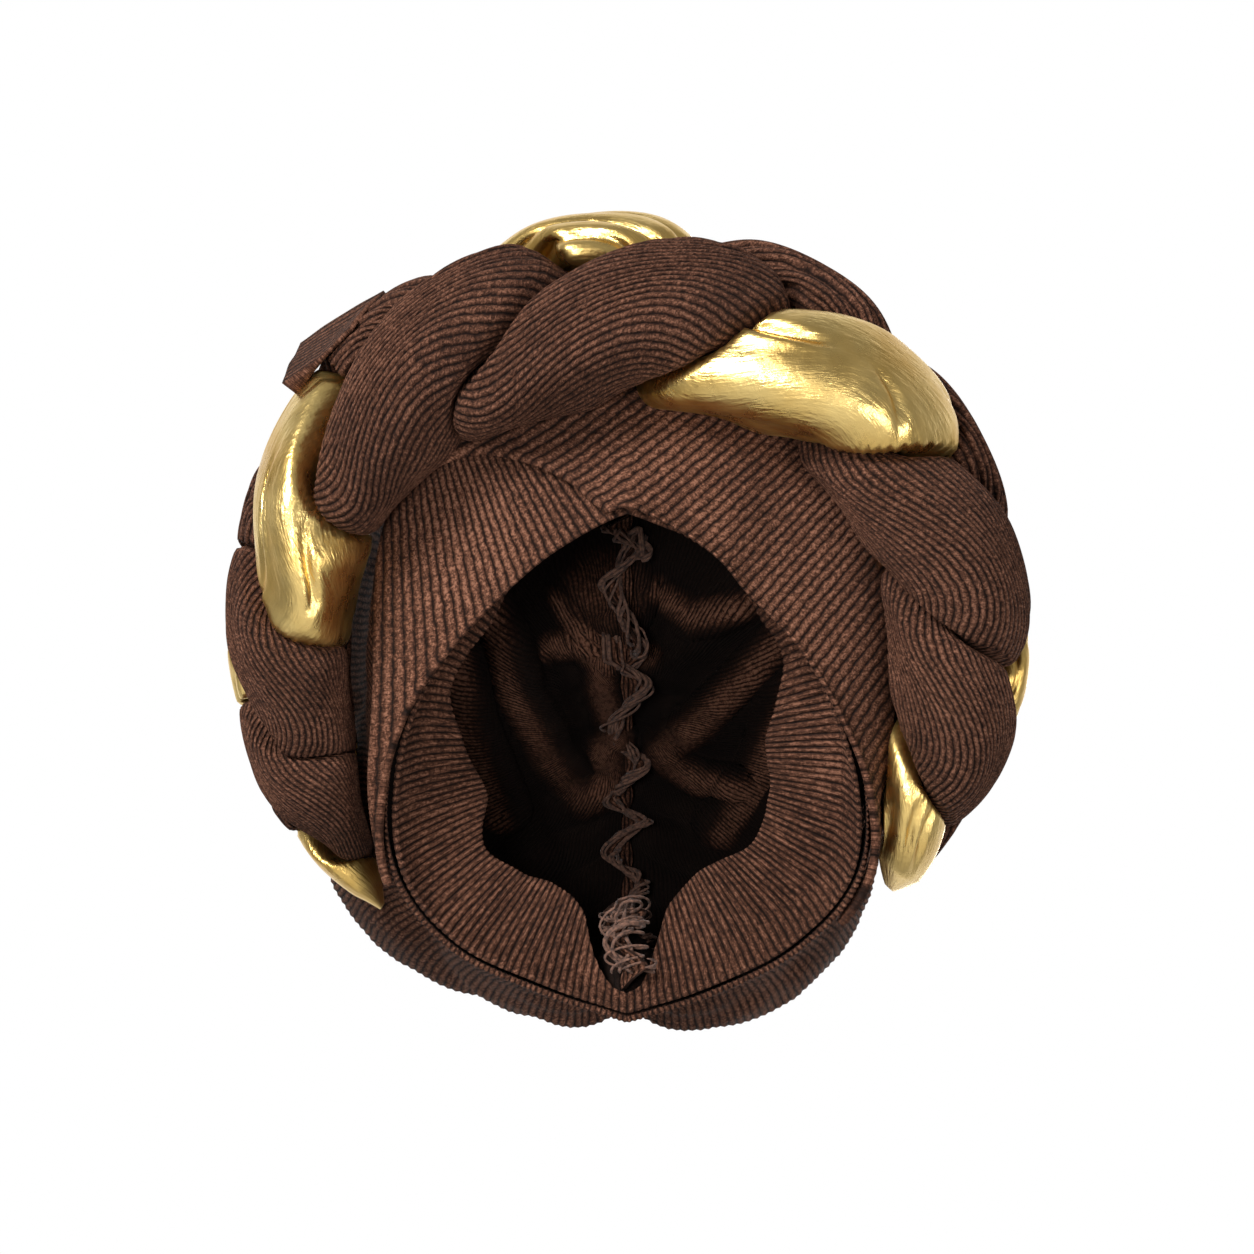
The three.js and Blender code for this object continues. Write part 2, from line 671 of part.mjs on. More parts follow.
// The folded end of fabric: a flat slab that leaves the curve of the braid at its tip.
function foldedTab(material) {
  const across = 4;
  const rings = [];
  for (let i = 0; i <= TAB_STEPS; i++) {
    const f = i / TAB_STEPS;
    const frame = braidAt(TAB.root + (TAB.tip - TAB.root) * f);
    const near = [];
    const far = [];
    for (let j = 0; j <= across; j++) {
      const a = TAB.low + ((TAB.high - TAB.low) * j) / across;
      const p = inBraid(braidAt(TAB.root), a, TAB.rootOut);
      const q = inBraid(braidAt(TAB.tip), a, TAB.tipOut);
      const outer = p.map((x, k) => x + (q[k] - x) * f);
      const over = outer.reduce((sum, x, k) => sum + (x - frame.middle[k]) * frame.out[k], 0);
      const skin = frame.deep * Math.sqrt(1 - (a / frame.wide) ** 2) + AIR;
      const top = Math.max(over, skin + 1.5);
      const under = Math.max(top - TAB.thick, skin);
      near.push(place(...inBraid(frame, a, under)));
      far.push(place(...inBraid(frame, a, top)));
    }
    rings.push([...near, ...far.reverse()]);
  }
  return ringSolid("folded_tab", rings, material);
}

// Matt dark brown ribbed knit
function brownKnit() {
  return new THREE.MeshStandardMaterial({ color: 0x452b22, roughness: 0.9, metalness: 0 });
}

// Crinkled metallic gold cloth
function goldFoil() {
  return new THREE.MeshStandardMaterial({ color: 0xcaa04f, roughness: 0.3, metalness: 0.85 });
}

const group = new THREE.Group();
group.add(cap(brownKnit()));
group.add(band("band_under", BAND_UNDER, 26, brownKnit()));
group.add(band("band_over", BAND_OVER, 32, brownKnit()));
for (const strand of STRANDS) {
  group.add(strandSolid(strand, strand.colour === "gold" ? goldFoil() : brownKnit()));
}
group.add(foldedTab(brownKnit()));
group.add(centreSeam(brownKnit()));
group.add(innerCuff(brownKnit()));

export default group;
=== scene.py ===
import math
import bpy
import numpy as np
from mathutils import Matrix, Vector


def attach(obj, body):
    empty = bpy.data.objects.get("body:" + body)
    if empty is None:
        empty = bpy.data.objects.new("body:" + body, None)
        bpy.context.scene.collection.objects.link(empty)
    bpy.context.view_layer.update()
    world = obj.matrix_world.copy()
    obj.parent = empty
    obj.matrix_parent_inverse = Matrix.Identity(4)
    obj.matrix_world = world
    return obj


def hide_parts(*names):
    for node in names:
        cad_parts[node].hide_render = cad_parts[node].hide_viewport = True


# Head wrap: ribbed brown knit cap with an inner cuff, two crossed bands and a padded braid.
# Forms are worked out in millimetres in the tilted frame of the hem, as across, forward and
# height above the hem plane, and placed in metres. Angles round the hem are in degrees from
# the front, positive to the right.

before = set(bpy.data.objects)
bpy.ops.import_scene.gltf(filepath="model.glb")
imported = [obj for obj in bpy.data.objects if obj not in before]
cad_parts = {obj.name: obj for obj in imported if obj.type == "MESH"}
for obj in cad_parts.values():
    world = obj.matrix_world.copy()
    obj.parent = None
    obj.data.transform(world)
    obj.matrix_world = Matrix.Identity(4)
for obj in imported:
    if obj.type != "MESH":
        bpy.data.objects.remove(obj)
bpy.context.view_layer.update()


# A table as one array for each named column.
def table(names, *rows):
    data = np.array(rows, float)
    return {name: data[:, i] for i, name in enumerate(names.split())}


# Sizes shared with the solids
HEM_TILT = math.radians(27.13)
CLOTH, AIR, CAP_TOP = 2.4, 0.85, 161.5
HEM = table(
    "angle left right",
    (0, 90, 90), (15, 82, 83), (35, 75, 74.5), (55, 74, 73.5), (75, 78, 75.5), (95, 83.5, 83),
    (115, 90.5, 91), (135, 89.5, 89), (155, 85.5, 86), (172, 87, 87.5), (180, 90, 90),
)
CAP_LEVELS = table(
    "height front back side square",
    (26, 124, 87, 92, 2.45), (50, 136, 95, 92.5, 2.4), (68, 137, 103, 96, 2.3),
    (88, 132, 106, 104, 2.2), (112, 115, 99, 100, 2.1), (134, 87, 84, 82, 2),
    (150, 53, 58, 55, 2), (159, 20, 30, 27, 2),
)
SEAM_PULL, SEAM_PULL_WIDTH, SEAM_HUB_HEIGHT = 5, 9, 70
GATHER_DEPTH, GATHER_PITCH, GATHER_REACH, GATHER_GAP, GATHER_SLANT = 2.4, 17, 30, 7, 0.45
# The seam's mean distance from its hub, and the cap's surface per degree round the hem.
HUB_REACH, MM_PER_DEGREE = 95, 1.6
# The folds fade in above the hem, and those of the crown from a height on.
HEM_FADE, CROWN_LOW, CROWN_FADE = 30, 96, 30
NAPE_PULL = dict(height=40, half=24, depth=20, width=12)
# Folds of the wall: angle, height, lean, half width, half length and depth, negative for a bulge.
WALL_FOLDS = [
    (-126, 84, 0, 34, 38, -17), (150, 84, 0, 32, 36, -8), (-146, 60, -0.7, 8, 30, 4.5),
    (128, 64, -0.4, 8, 34, 4.5), (108, 30, 0.25, 7, 32, 4),
]
# Creases of the crown in plan: from x, from p, to x, to p, half width and depth.
CROWN_FOLDS = [
    (-52, 42, -13, -34, 7, 8), (-66, 8, -34, -58, 7, 6), (-34, 66, -8, 40, 6, 5),
    (14, 14, 52, 50, 7, 6), (16, -22, 62, 12, 8, 6), (14, -52, 58, -36, 7, 5),
]
CUFF = table(
    "angle left right height",
    (0, 80, 80, 30), (30, 70, 70, 32), (56, 67, 66, 33), (70, 66, 57, 33), (84, 58.5, 50, 32),
    (106, 52, 52, 31), (123, 64, 54.5, 30), (138, 58.5, 50, 30), (150, 53, 48.5, 30),
    (164, 57, 54.5, 27), (171, 71, 66, 16), (176, 78, 77, 7), (180, 80, 80, 4.5),
)
CUFF_BOW, CUFF_LOW, CUFF_AIR = 5, -0.7, 0.4
# Hanging folds of the crown in plan, each a line of points with its half width and depth.
CROWN_ROLLS = [
    ([(-54, 48), (-47, 26), (-42, 6), (-28, -19), (-15, -34), (-8, -30), (-8, -16)], 7.5, 13),
    ([(-30, 22), (-18, 24), (-9, 17), (-9, 4), (-3, -12)], 5.5, 10),
    ([(-25, 42), (-18, 29), (-4, 20), (8, 19)], 5, 6),
    ([(60, 30), (42, 9), (26, -7), (14, -15)], 7, 12),
    ([(15, -20), (27, -28), (44, -30)], 6, 9),
    ([(-64, 30), (-60, -4), (-47, -40)], 7, 10),
    ([(60, 6), (49, -26), (35, -46)], 7, 9),
    ([(10, 44), (24, 34), (44, 40)], 5.5, 8),
]
CROWN_DOME = dict(x=-8, p=44, wide=19, depth=8)
DOME_SHARE = 0.7
# Puffs of the back: angle, height, half width, half height and depth.
BACK_PUFFS = [(-152, 70, 26, 34, -3.5), (168, 60, 22, 30, -2.5), (-172, 56, 16, 30, -3)]
BAND_UNDER = table(
    "angle low high",
    (-116, -1.5, 7), (-100, -2, 12), (-78, -2, 17), (-55, -2, 30), (-30, -2, 40), (0, -2, 40),
    (18, 2, 36),
)
BAND_OVER = table(
    "angle low high",
    (-52, 29, 43), (-31, 22, 45), (-23, 17.5, 48), (-12, 9.5, 48), (-2, -1, 46), (12, -2.5, 44),
    (40, -2.5, 42), (70, -2.5, 34), (95, -2, 22), (112, -2, 12), (126, -1.5, 5),
)
RING_FRONT, RING_RISE = 39.7, 33.6
LOBES = table(
    "lobe angle reach rise lean skew lag wide deep",
    (-0.5, -145, 139, 10, 0, 0, 15, 8, 6), (0, -134, 128, 5, 0, 0, 15, 17, 8.5),
    (1, -114, 121, 1, 0, 0, 18, 39, 18.5), (2, -92, 119.5, 0, 0, 0.1, 18, 44, 22),
    (3, -67.5, 120.5, 0, 3, 0.25, 18, 46, 24.5), (4, -37.5, 121, 0, 9, 0.5, 12, 52, 29),
    (5, -2.5, 118.5, 0, 14, 0.4, -8, 53, 32), (6, 31, 119.5, 0, 12, 0.15, -14, 51, 30),
    (7, 64.5, 117.5, 0, 6, 0, -14, 48, 27.5), (8, 98, 117, 0, 0, 0, -12, 46, 26),
    (9, 124, 117.5, 3, 0, 0, -10, 34, 17.5), (9.6, 139, 128, 11, 0, 0, -10, 10, 7),
)
# Where a strand takes room from its neighbours: strand, lobe value, how much and half length.
BULKY_LOBES = [
    (2, 2, 3, 0.7), (1, 4, 8, 0.8), (2, 5, 5, 0.6), (1, 5.35, 9, 0.35), (1, 6.8, 11, 0.5),
    (2, 8, 4, 0.7),
]
SWING, WEAVE, STRAND_WIDE = 0.44, 0.44, 0.62
TAB = dict(root=4.12, tip=3.6, low=-4, high=26, root_out=26, tip_out=31, thick=9)

# Where the visible cloth of each strand starts and ends along the lobes.
STRAND_ENDS = [(-0.15, 9.36), (0.1, 9.25), (0.0, 9.15)]

# Detail of the cloth
RIB_PITCH = 3.07
STRAND_RIBS, STRAND_RIB_DEPTH = 50, 0.7
STRAND_GAP, CAP_CLEARANCE = 0.25, 0.5
# How square a strand's section is towards the cap and away from it, and its swell there.
ROUND_INNER, ROUND_OUTER, SWELL = 14, 3.4, 0.06
# The least that a bulky strand leaves its neighbour, and the least reach of cloth.
LEAST_SHARE, LEAST_REACH, LEAST_TOWARD = 6, 0.8, 0.02
# A strand is flatter where the braid starts, and round over this length at both ends.
THIN_START, END_ROUND = 0.35, 11
# Share of the rib angles that follows the section's outline, smoothed over so many sections.
OUTLINE_SHARE, OUTLINE_SPREAD = 0.7, 11
# Relief fades in from the ends, and takes no more than a share of the strand's reach.
RELIEF_START, RELIEF_FADE, RELIEF_MOST = 4, 30, 0.3
# Where across the braid the far side's pleats start, and over what share they grow.
PLEATS_FROM, PLEATS_GROW = 0.28, 0.35


def smooth(f):
    f = np.clip(f, 0, 1)
    return f * f * (3 - 2 * f)


def bell(x, width):
    return np.exp(-((x / width) ** 2))


# Values of a grid between its points.
def blend(grid, x0, x1, y0, y1, fx, fy):
    low = grid[x0, y0] * (1 - fx) + grid[x1, y0] * fx
    high = grid[x0, y1] * (1 - fx) + grid[x1, y1] * fx
    return low * (1 - fy) + high * fy


# Soft noise from a fixed lattice of random numbers, between -1 and 1.
def noise(x, y, seed, wrap=0):
    grid = np.random.default_rng(seed).random((256, 256)) * 2 - 1
    x, y = np.broadcast_arrays(np.asarray(x, float), np.asarray(y, float))
    xi, yi = np.floor(x).astype(int), np.floor(y).astype(int)
    fx, fy = smooth(x - xi), smooth(y - yi)
    size = wrap or 256
    return blend(grid, xi % size, (xi + 1) % size, yi % 256, (yi + 1) % 256, fx, fy)


# Smooth values between the rows of a table.
def between(xs, ys, x):
    n = len(xs)
    x = np.asarray(x, float)
    i = np.clip(np.searchsorted(xs, x, side="left") - 1, 0, n - 2)
    before, after = np.maximum(i - 1, 0), np.minimum(i + 2, n - 1)
    own = (np.arange(ys.shape[1]),) if ys.ndim > 1 else ()
    a, b, c, d = (ys[(row, *own)] for row in (before, i, i + 1, after))
    step = xs[i + 1] - xs[i]
    f = np.clip((x - xs[i]) / step, 0, 1)
    slope_a = (c - a) / (xs[i + 1] - xs[before]) * step
    slope_b = (d - b) / (xs[after] - xs[i]) * step
    f2, f3 = f * f, f * f * f
    return (
        (2 * f3 - 3 * f2 + 1) * b
        + (f3 - 2 * f2 + f) * slope_a
        + (3 * f2 - 2 * f3) * c
        + (f3 - f2) * slope_b
    )


# A column of a table at values of its first column.
def column(rows, name, x):
    return between(rows[next(iter(rows))], rows[name], x)


# From across, forward and height above the hem plane to the row frame, in metres.
def place(points):
    x, p, h = points[..., 0], points[..., 1], points[..., 2]
    c, s = math.cos(HEM_TILT), math.sin(HEM_TILT)
    return np.stack([x, h * s - p * c, p * s + h * c], -1) / 1000


def turned(angle):
    return angle - 360 * np.round(angle / 360)


# The left or right column of a table, by the side of each angle.
def by_side(rows, angle):
    left, right = (column(rows, name, np.abs(angle)) for name in ("left", "right"))
    return np.where(angle < 0, left, right)


def hem_reach(angle):
    return by_side(HEM, turned(angle))


CAP_HEIGHTS = np.concatenate([[0], CAP_LEVELS["height"], [CAP_TOP]])


def cap_rows(angle):
    sin, cos = np.abs(np.sin(np.radians(angle))), np.abs(np.cos(np.radians(angle)))
    reach, middle = [hem_reach(angle)], [np.zeros_like(angle)]
    for i in range(len(CAP_LEVELS["height"])):
        front, back, side, square = (CAP_LEVELS[k][i] for k in ("front", "back", "side", "square"))
        along = (front + back) / 2
        reach.append(((sin / side) ** square + (cos / along) ** square) ** (-1 / square))
        middle.append(np.full_like(angle, (front - back) / 2))
    reach.append(np.zeros_like(angle))
    middle.append(middle[-1])
    return np.array(reach), np.array(middle)


def plain_point(angle, height):
    reach, middle = cap_rows(angle)
    h = np.maximum(height, 0)
    r = np.maximum(between(CAP_HEIGHTS, reach, h), 0)
    m = between(CAP_HEIGHTS, middle, h)
    a = np.radians(angle)
    return np.stack([r * np.sin(a), m + r * np.cos(a), height + 0 * r], -1)


# How far points of the plan lie from a line of points.
def line_distance(line, x, p):
    near = np.full(x.shape, 99.0)
    for (x0, p0), (x1, p1) in zip(line, line[1:]):
        dx, dp = x1 - x0, p1 - p0
        f = np.clip(((x - x0) * dx + (p - p0) * dp) / (dx * dx + dp * dp), 0, 1)
        near = np.minimum(near, np.hypot(x - x0 - f * dx, p - p0 - f * dp))
    return near


def dome_distance(x, p):
    return np.hypot(x - CROWN_DOME["x"], p - CROWN_DOME["p"]) / CROWN_DOME["wide"]


# How far the seam, its gathers and the folds draw the cap inwards.
def cap_pull(angle, point):
    x, p, height = point[..., 0], point[..., 1], point[..., 2]
    up = np.clip(height / HEM_FADE, 0, 1)
    hub = np.arctan2(height - SEAM_HUB_HEIGHT, -p)
    hub = np.where(hub < -math.pi / 2, hub + 2 * math.pi, hub)
    behind = np.clip((2.5 - hub) / 0.5, 0, 1)
    away = np.abs(x)
    pull = SEAM_PULL * up * behind * bell(away, SEAM_PULL_WIDTH)
    nape = bell(height - NAPE_PULL["height"], NAPE_PULL["half"])
    pull = pull + NAPE_PULL["depth"] * up * behind * nape * bell(away, NAPE_PULL["width"])
    along = hub * HUB_REACH + GATHER_SLANT * away
    spread = bell(away, GATHER_REACH) * (1 - bell(away, GATHER_GAP))
    wave = 1 + np.cos(2 * math.pi * along / GATHER_PITCH)
    pull += GATHER_DEPTH * up * behind * spread * wave
    for at, level, lean, wide, long, depth in WALL_FOLDS:
        rise = height - level
        side = turned(angle - at) * MM_PER_DEGREE - lean * rise
        pull += depth * up * np.exp(-((side / wide) ** 2) - (rise / long) ** 4)
    crown = np.clip((height - CROWN_LOW) / CROWN_FADE, 0, 1)
    for from_x, from_p, to_x, to_p, width, depth in CROWN_FOLDS:
        dx, dp = to_x - from_x, to_p - from_p
        long = math.hypot(dx, dp)
        f = ((x - from_x) * dx + (p - from_p) * dp) / long**2
        end = np.maximum(np.maximum(-f, f - 1), 0) * long
        side = ((x - from_x) * dp - (p - from_p) * dx) / long
        pull += depth * crown * bell(np.hypot(side, end * 0.7), width)
    for line, wide, depth in CROWN_ROLLS:
        near = line_distance(line, x, p)
        end = np.minimum(np.hypot(x - line[0][0], p - line[0][1]) / 16, 1)
        roll = np.sqrt(np.clip(1 - (near / wide) ** 2, 0, 1))
        shape = 0.75 * roll + 0.25 * bell(near, wide * 1.6)
        pull += depth * crown * shape * (0.3 + 0.7 * end)
    dome = np.sqrt(np.clip(1 - dome_distance(x, p) ** 2, 0, 1))
    pull += CROWN_DOME["depth"] * crown * dome
    for at, level, wide, tall, depth in BACK_PUFFS:
        side = turned(angle - at) * MM_PER_DEGREE
        pull += depth * up * bell(side, wide) * bell(height - level, tall)
    return pull


# 1 along the crests of the hanging folds and 0 between them. It sets the painted light on the
# crests and the painted shade between them inside the cap.
def roll_mask(x, p):
    most = np.zeros_like(x)
    for line, wide, _ in CROWN_ROLLS:
        near = line_distance(line, x, p)
        most = np.maximum(most, np.clip(1 - (near / wide) ** 2, 0, 1))
    return np.maximum(most, DOME_SHARE * np.clip(1 - dome_distance(x, p) ** 4, 0, 1))


def unit(v):
    return v / np.maximum(np.linalg.norm(v, axis=-1, keepdims=True), 1e-9)


# Unit normals of a surface that is given by angle and height.
def outward(surface, angle, height):
    step = 0.6
    u = surface(angle + step, height) - surface(angle - step, height)
    v = surface(angle, height + step) - surface(angle, np.maximum(height - step, 0))
    return unit(np.cross(v, u))


def cap_face(angle, height):
    plain = plain_point(angle, height)
    normal = outward(plain_point, angle, np.maximum(height, 0))
    return plain - normal * cap_pull(angle, plain)[..., None], normal


def cap_point(angle, height):
    return cap_face(angle, height)[0]


# The braid's frame at given lobe values.
def braid_at(t):
    at = {name: column(LOBES, name, t) for name in LOBES}
    angle, lean = np.radians(at["angle"]), np.radians(at["lean"])
    zero = np.zeros_like(angle)
    radial = np.stack([np.sin(angle), np.cos(angle), zero], -1)
    onward = np.stack([np.cos(angle), -np.sin(angle), zero], -1)
    up = np.array([0.0, 0.0, 1.0])
    sin, cos = np.sin(lean)[..., None], np.cos(lean)[..., None]
    across = cos * up + sin * radial + at["skew"][..., None] * onward
    out = cos * radial - sin * up
    middle = at["reach"][..., None] * radial
    middle[..., 1] += RING_FRONT
    middle[..., 2] += RING_RISE + at["rise"]
    return dict(at, middle=middle, across=across, out=out, lag=np.radians(at["lag"]))


# A strand's middle in the braid's section, across and outward.
def strand_middle(braid, lobe, t):
    phase = 2 * math.pi * (t - lobe) / 3
    side = -SWING * braid["wide"] * np.cos(phase + braid["lag"])
    return side, WEAVE * braid["deep"] * np.sin(2 * phase)


# How much room a strand takes from the others at each lobe value.
def bulk(lobe, t):
    total = np.zeros_like(t)
    for own, at, more, long in BULKY_LOBES:
        if (own - lobe) % 3 == 0:
            total += more * bell(t - at, long)
    return total


# A look-up of how far out the cap's outer face lies, by angle and height.
LOOK_ANGLES = np.linspace(-180, 180, 361)
LOOK_HEIGHTS = np.linspace(0, CAP_TOP - 2, 110)


def cap_faces():
    a, h = (g.ravel() for g in np.meshgrid(LOOK_ANGLES, LOOK_HEIGHTS, indexing="ij"))
    level = h.copy()
    for _ in range(3):
        face, normal = cap_face(a, level)
        level = np.clip(level + (h - face[:, 2]), 0, CAP_TOP - 1)
    middle = between(CAP_HEIGHTS, cap_rows(np.zeros_like(h))[1], h)
    far = np.hypot(face[:, 0], face[:, 1] - middle)
    shape = (len(LOOK_ANGLES), len(LOOK_HEIGHTS))
    return far.reshape(shape), np.hypot(normal[:, 0], normal[:, 1]).reshape(shape)


CAP_FAR, CAP_SLOPE = cap_faces()
MIDDLE_ROWS = cap_rows(np.zeros(1))[1][:, 0]


def look_up(grid, angle, height):
    a = np.clip(angle + 180, 0, 359.999)
    h = np.clip(height / LOOK_HEIGHTS[-1], 0, 0.99999) * (len(LOOK_HEIGHTS) - 1)
    i, j = a.astype(int), h.astype(int)
    return blend(grid, i, i + 1, j, j + 1, a - i, h - j)


# How far outside the cap and its bands points lie.
def outside_cap(points):
    x, y, height = points[..., 0], points[..., 1], points[..., 2]
    h = np.clip(height, 0, CAP_TOP)
    middle = between(CAP_HEIGHTS, MIDDLE_ROWS, h)
    angle = np.degrees(np.arctan2(x, y - middle))
    layers = np.where((angle > -60) & (angle < 34), 2, 1)
    bands = np.where((np.abs(angle) < 128) & (height < 52), layers * (CLOTH + AIR), 0)
    beyond = np.hypot(x, y - middle) - look_up(CAP_FAR, angle, h)
    away = beyond * look_up(CAP_SLOPE, angle, h) - bands
    return np.where(height > CAP_TOP, 50, away)


# Places in the braid's section, from offsets across and outward.
def in_braid(braid, across, out):
    return (
        braid["middle"][:, None, :]
        + braid["across"][:, None, :] * across[..., None]
        + braid["out"][:, None, :] * out[..., None]
    )


# Outlines of one strand: how far its cloth lies from its middle along rays, in each section.
def strand_reach(lobe, t, rays):
    braid = braid_at(t)
    own_a, own_o = (v[:, None] for v in strand_middle(braid, lobe, t))
    ra, ro = np.cos(rays), np.sin(rays)
    w, d = braid["wide"][:, None] ** 2, braid["deep"][:, None] ** 2
    a = ra**2 / w + ro**2 / d
    b = ra * own_a / w + ro * own_o / d
    c = own_a**2 / w + own_o**2 / d - 1
    room = (np.sqrt(np.maximum(b * b - a * c, 1e-9)) - b) / a
    facing = smooth((ro + 0.55) / 1.3)
    power = ROUND_INNER + (ROUND_OUTER - ROUND_INNER) * facing
    room = room * (1 + SWELL * facing)
    total = room**-power + (STRAND_WIDE * braid["wide"][:, None]) ** -power
    for other in (lobe + 1, lobe + 2):
        oa, oo = (v[:, None] for v in strand_middle(braid, other, t))
        way_a, way_o = oa - own_a, oo - own_o
        apart = np.hypot(way_a, way_o)
        toward = (ra * way_a + ro * way_o) / apart
        press = bulk(lobe, t) - bulk(other, t)
        press = np.maximum(press[:, None], LEAST_SHARE - apart)
        press = np.minimum(press, apart - LEAST_SHARE) / 2
        limit = np.maximum(apart / 2 + press - STRAND_GAP / 2, LEAST_REACH)
        limit = limit / np.maximum(toward, LEAST_TOWARD)
        total += np.where(toward > LEAST_TOWARD, limit**-power, 0)
    reach = total ** (-1 / power)
    thin = THIN_START + (1 - THIN_START) * smooth((t[:, None] + 0.1) / 1.1)
    reach *= 1 - (1 - thin) * np.clip(ro, 0, 1)

    def spot(r):
        return in_braid(braid, own_a + ra * r, own_o + ro * r)

    low, high = np.zeros_like(reach), reach.copy()
    blocked = outside_cap(spot(reach)) < CAP_CLEARANCE
    for _ in range(12):
        mid = (low + high) / 2
        free = outside_cap(spot(mid)) > CAP_CLEARANCE
        low, high = np.where(free, mid, low), np.where(free, high, mid)
    reach = np.where(blocked, np.maximum(low, 1), reach)
    return braid, own_a, own_o, reach


# Cloth coordinates of a grid: ribs across, and millimetres along them.
def cloth_uv(u, v):
    return np.stack(np.broadcast_arrays(u, v), -1)


# Columns of both faces of a cloth, and the first again to close the ring.
def there_and_back(values):
    return np.hstack([values, values[:, ::-1], values[:, :1]])


def two_faced(name, near, far, uv):
    return grid_mesh(name, np.concatenate([near, far[:, ::-1]], 1), uv)


def in_scene(name, data):
    item = bpy.data.objects.new(name, data)
    bpy.context.scene.collection.objects.link(item)
    return item


def new_mesh(name, verts, faces):
    mesh = bpy.data.meshes.new(name)
    mesh.from_pydata(verts, [], faces)
    mesh.polygons.foreach_set("use_smooth", [True] * len(mesh.polygons))
    mesh.update()
    return mesh


# Mesh from a grid of points, closed round its columns, with cloth coordinates for its faces.
# Its rows are joined in a loop, or end in a cap of triangles.
def grid_mesh(name, points, uv, loop=False):
    rows, cols = points.shape[:2]
    verts = place(points).reshape(-1, 3)
    i = np.arange(rows if loop else rows - 1)
    ii, jj = (g.ravel() for g in np.meshgrid(i, np.arange(cols), indexing="ij"))
    i2, j2 = (ii + 1) % rows, (jj + 1) % cols
    quads = np.stack([ii * cols + jj, ii * cols + j2, i2 * cols + j2, i2 * cols + jj], -1)
    uvs = np.stack([uv[ii, jj], uv[ii, jj + 1], uv[ii + 1, jj + 1], uv[ii + 1, jj]], 1)
    faces, corners = quads.tolist(), uvs.reshape(-1, 2)
    if not loop:
        for row, turn in ((0, 1), (rows - 1, -1)):
            ring = list(range(row * cols, row * cols + cols))[::turn]
            verts = np.vstack([verts, verts[ring].mean(0)])
            tip = len(verts) - 1
            for k in range(cols):
                faces.append([ring[k], tip, ring[(k + 1) % cols]])
            corners = np.vstack([corners, np.repeat(uv[row, :1], 3 * cols, 0)])
    mesh = new_mesh(name, verts.tolist(), faces)
    layer = mesh.uv_layers.new(name="cloth")
    layer.data.foreach_set("uv", corners.astype(np.float32).ravel())
    turn_out(mesh)
    return in_scene(name, mesh)


# Turn a closed mesh's faces outwards.
def turn_out(mesh):
    mesh.calc_loop_triangles()
    co = np.zeros(len(mesh.vertices) * 3)
    mesh.vertices.foreach_get("co", co)
    tri = np.zeros(len(mesh.loop_triangles) * 3, int)
    mesh.loop_triangles.foreach_get("vertices", tri)
    a, b, c = co.reshape(-1, 3)[tri.reshape(-1, 3)].transpose(1, 0, 2)
    if (a * np.cross(b, c)).sum() < 0:
        mesh.flip_normals()


# Running length down a row of points.
def lengths(points):
    steps = np.linalg.norm(np.diff(points, axis=0), axis=-1)
    return np.concatenate([np.zeros((1,) + steps.shape[1:]), np.cumsum(steps, 0)])


# Places at given lengths of a line.
def at_lengths(want, run, line):
    return np.stack([np.interp(want, run, line[:, k]) for k in range(3)], -1)


# Height of the ribbed relief at rib coordinates: 0 in a groove and 1 on a crest.
def ridge(u):
    return np.abs(np.sin(math.pi * u)) ** 0.7


# Running mean along the rows, weighted by a bell.
def soften(rows, spread):
    reach = int(spread * 3)
    weight = bell(np.arange(-reach, reach + 1), spread)
    weight /= weight.sum()
    padded = np.concatenate([rows[:1].repeat(reach, 0), rows, rows[-1:].repeat(reach, 0)])
    return sum(w * padded[i : i + len(rows)] for i, w in enumerate(weight))


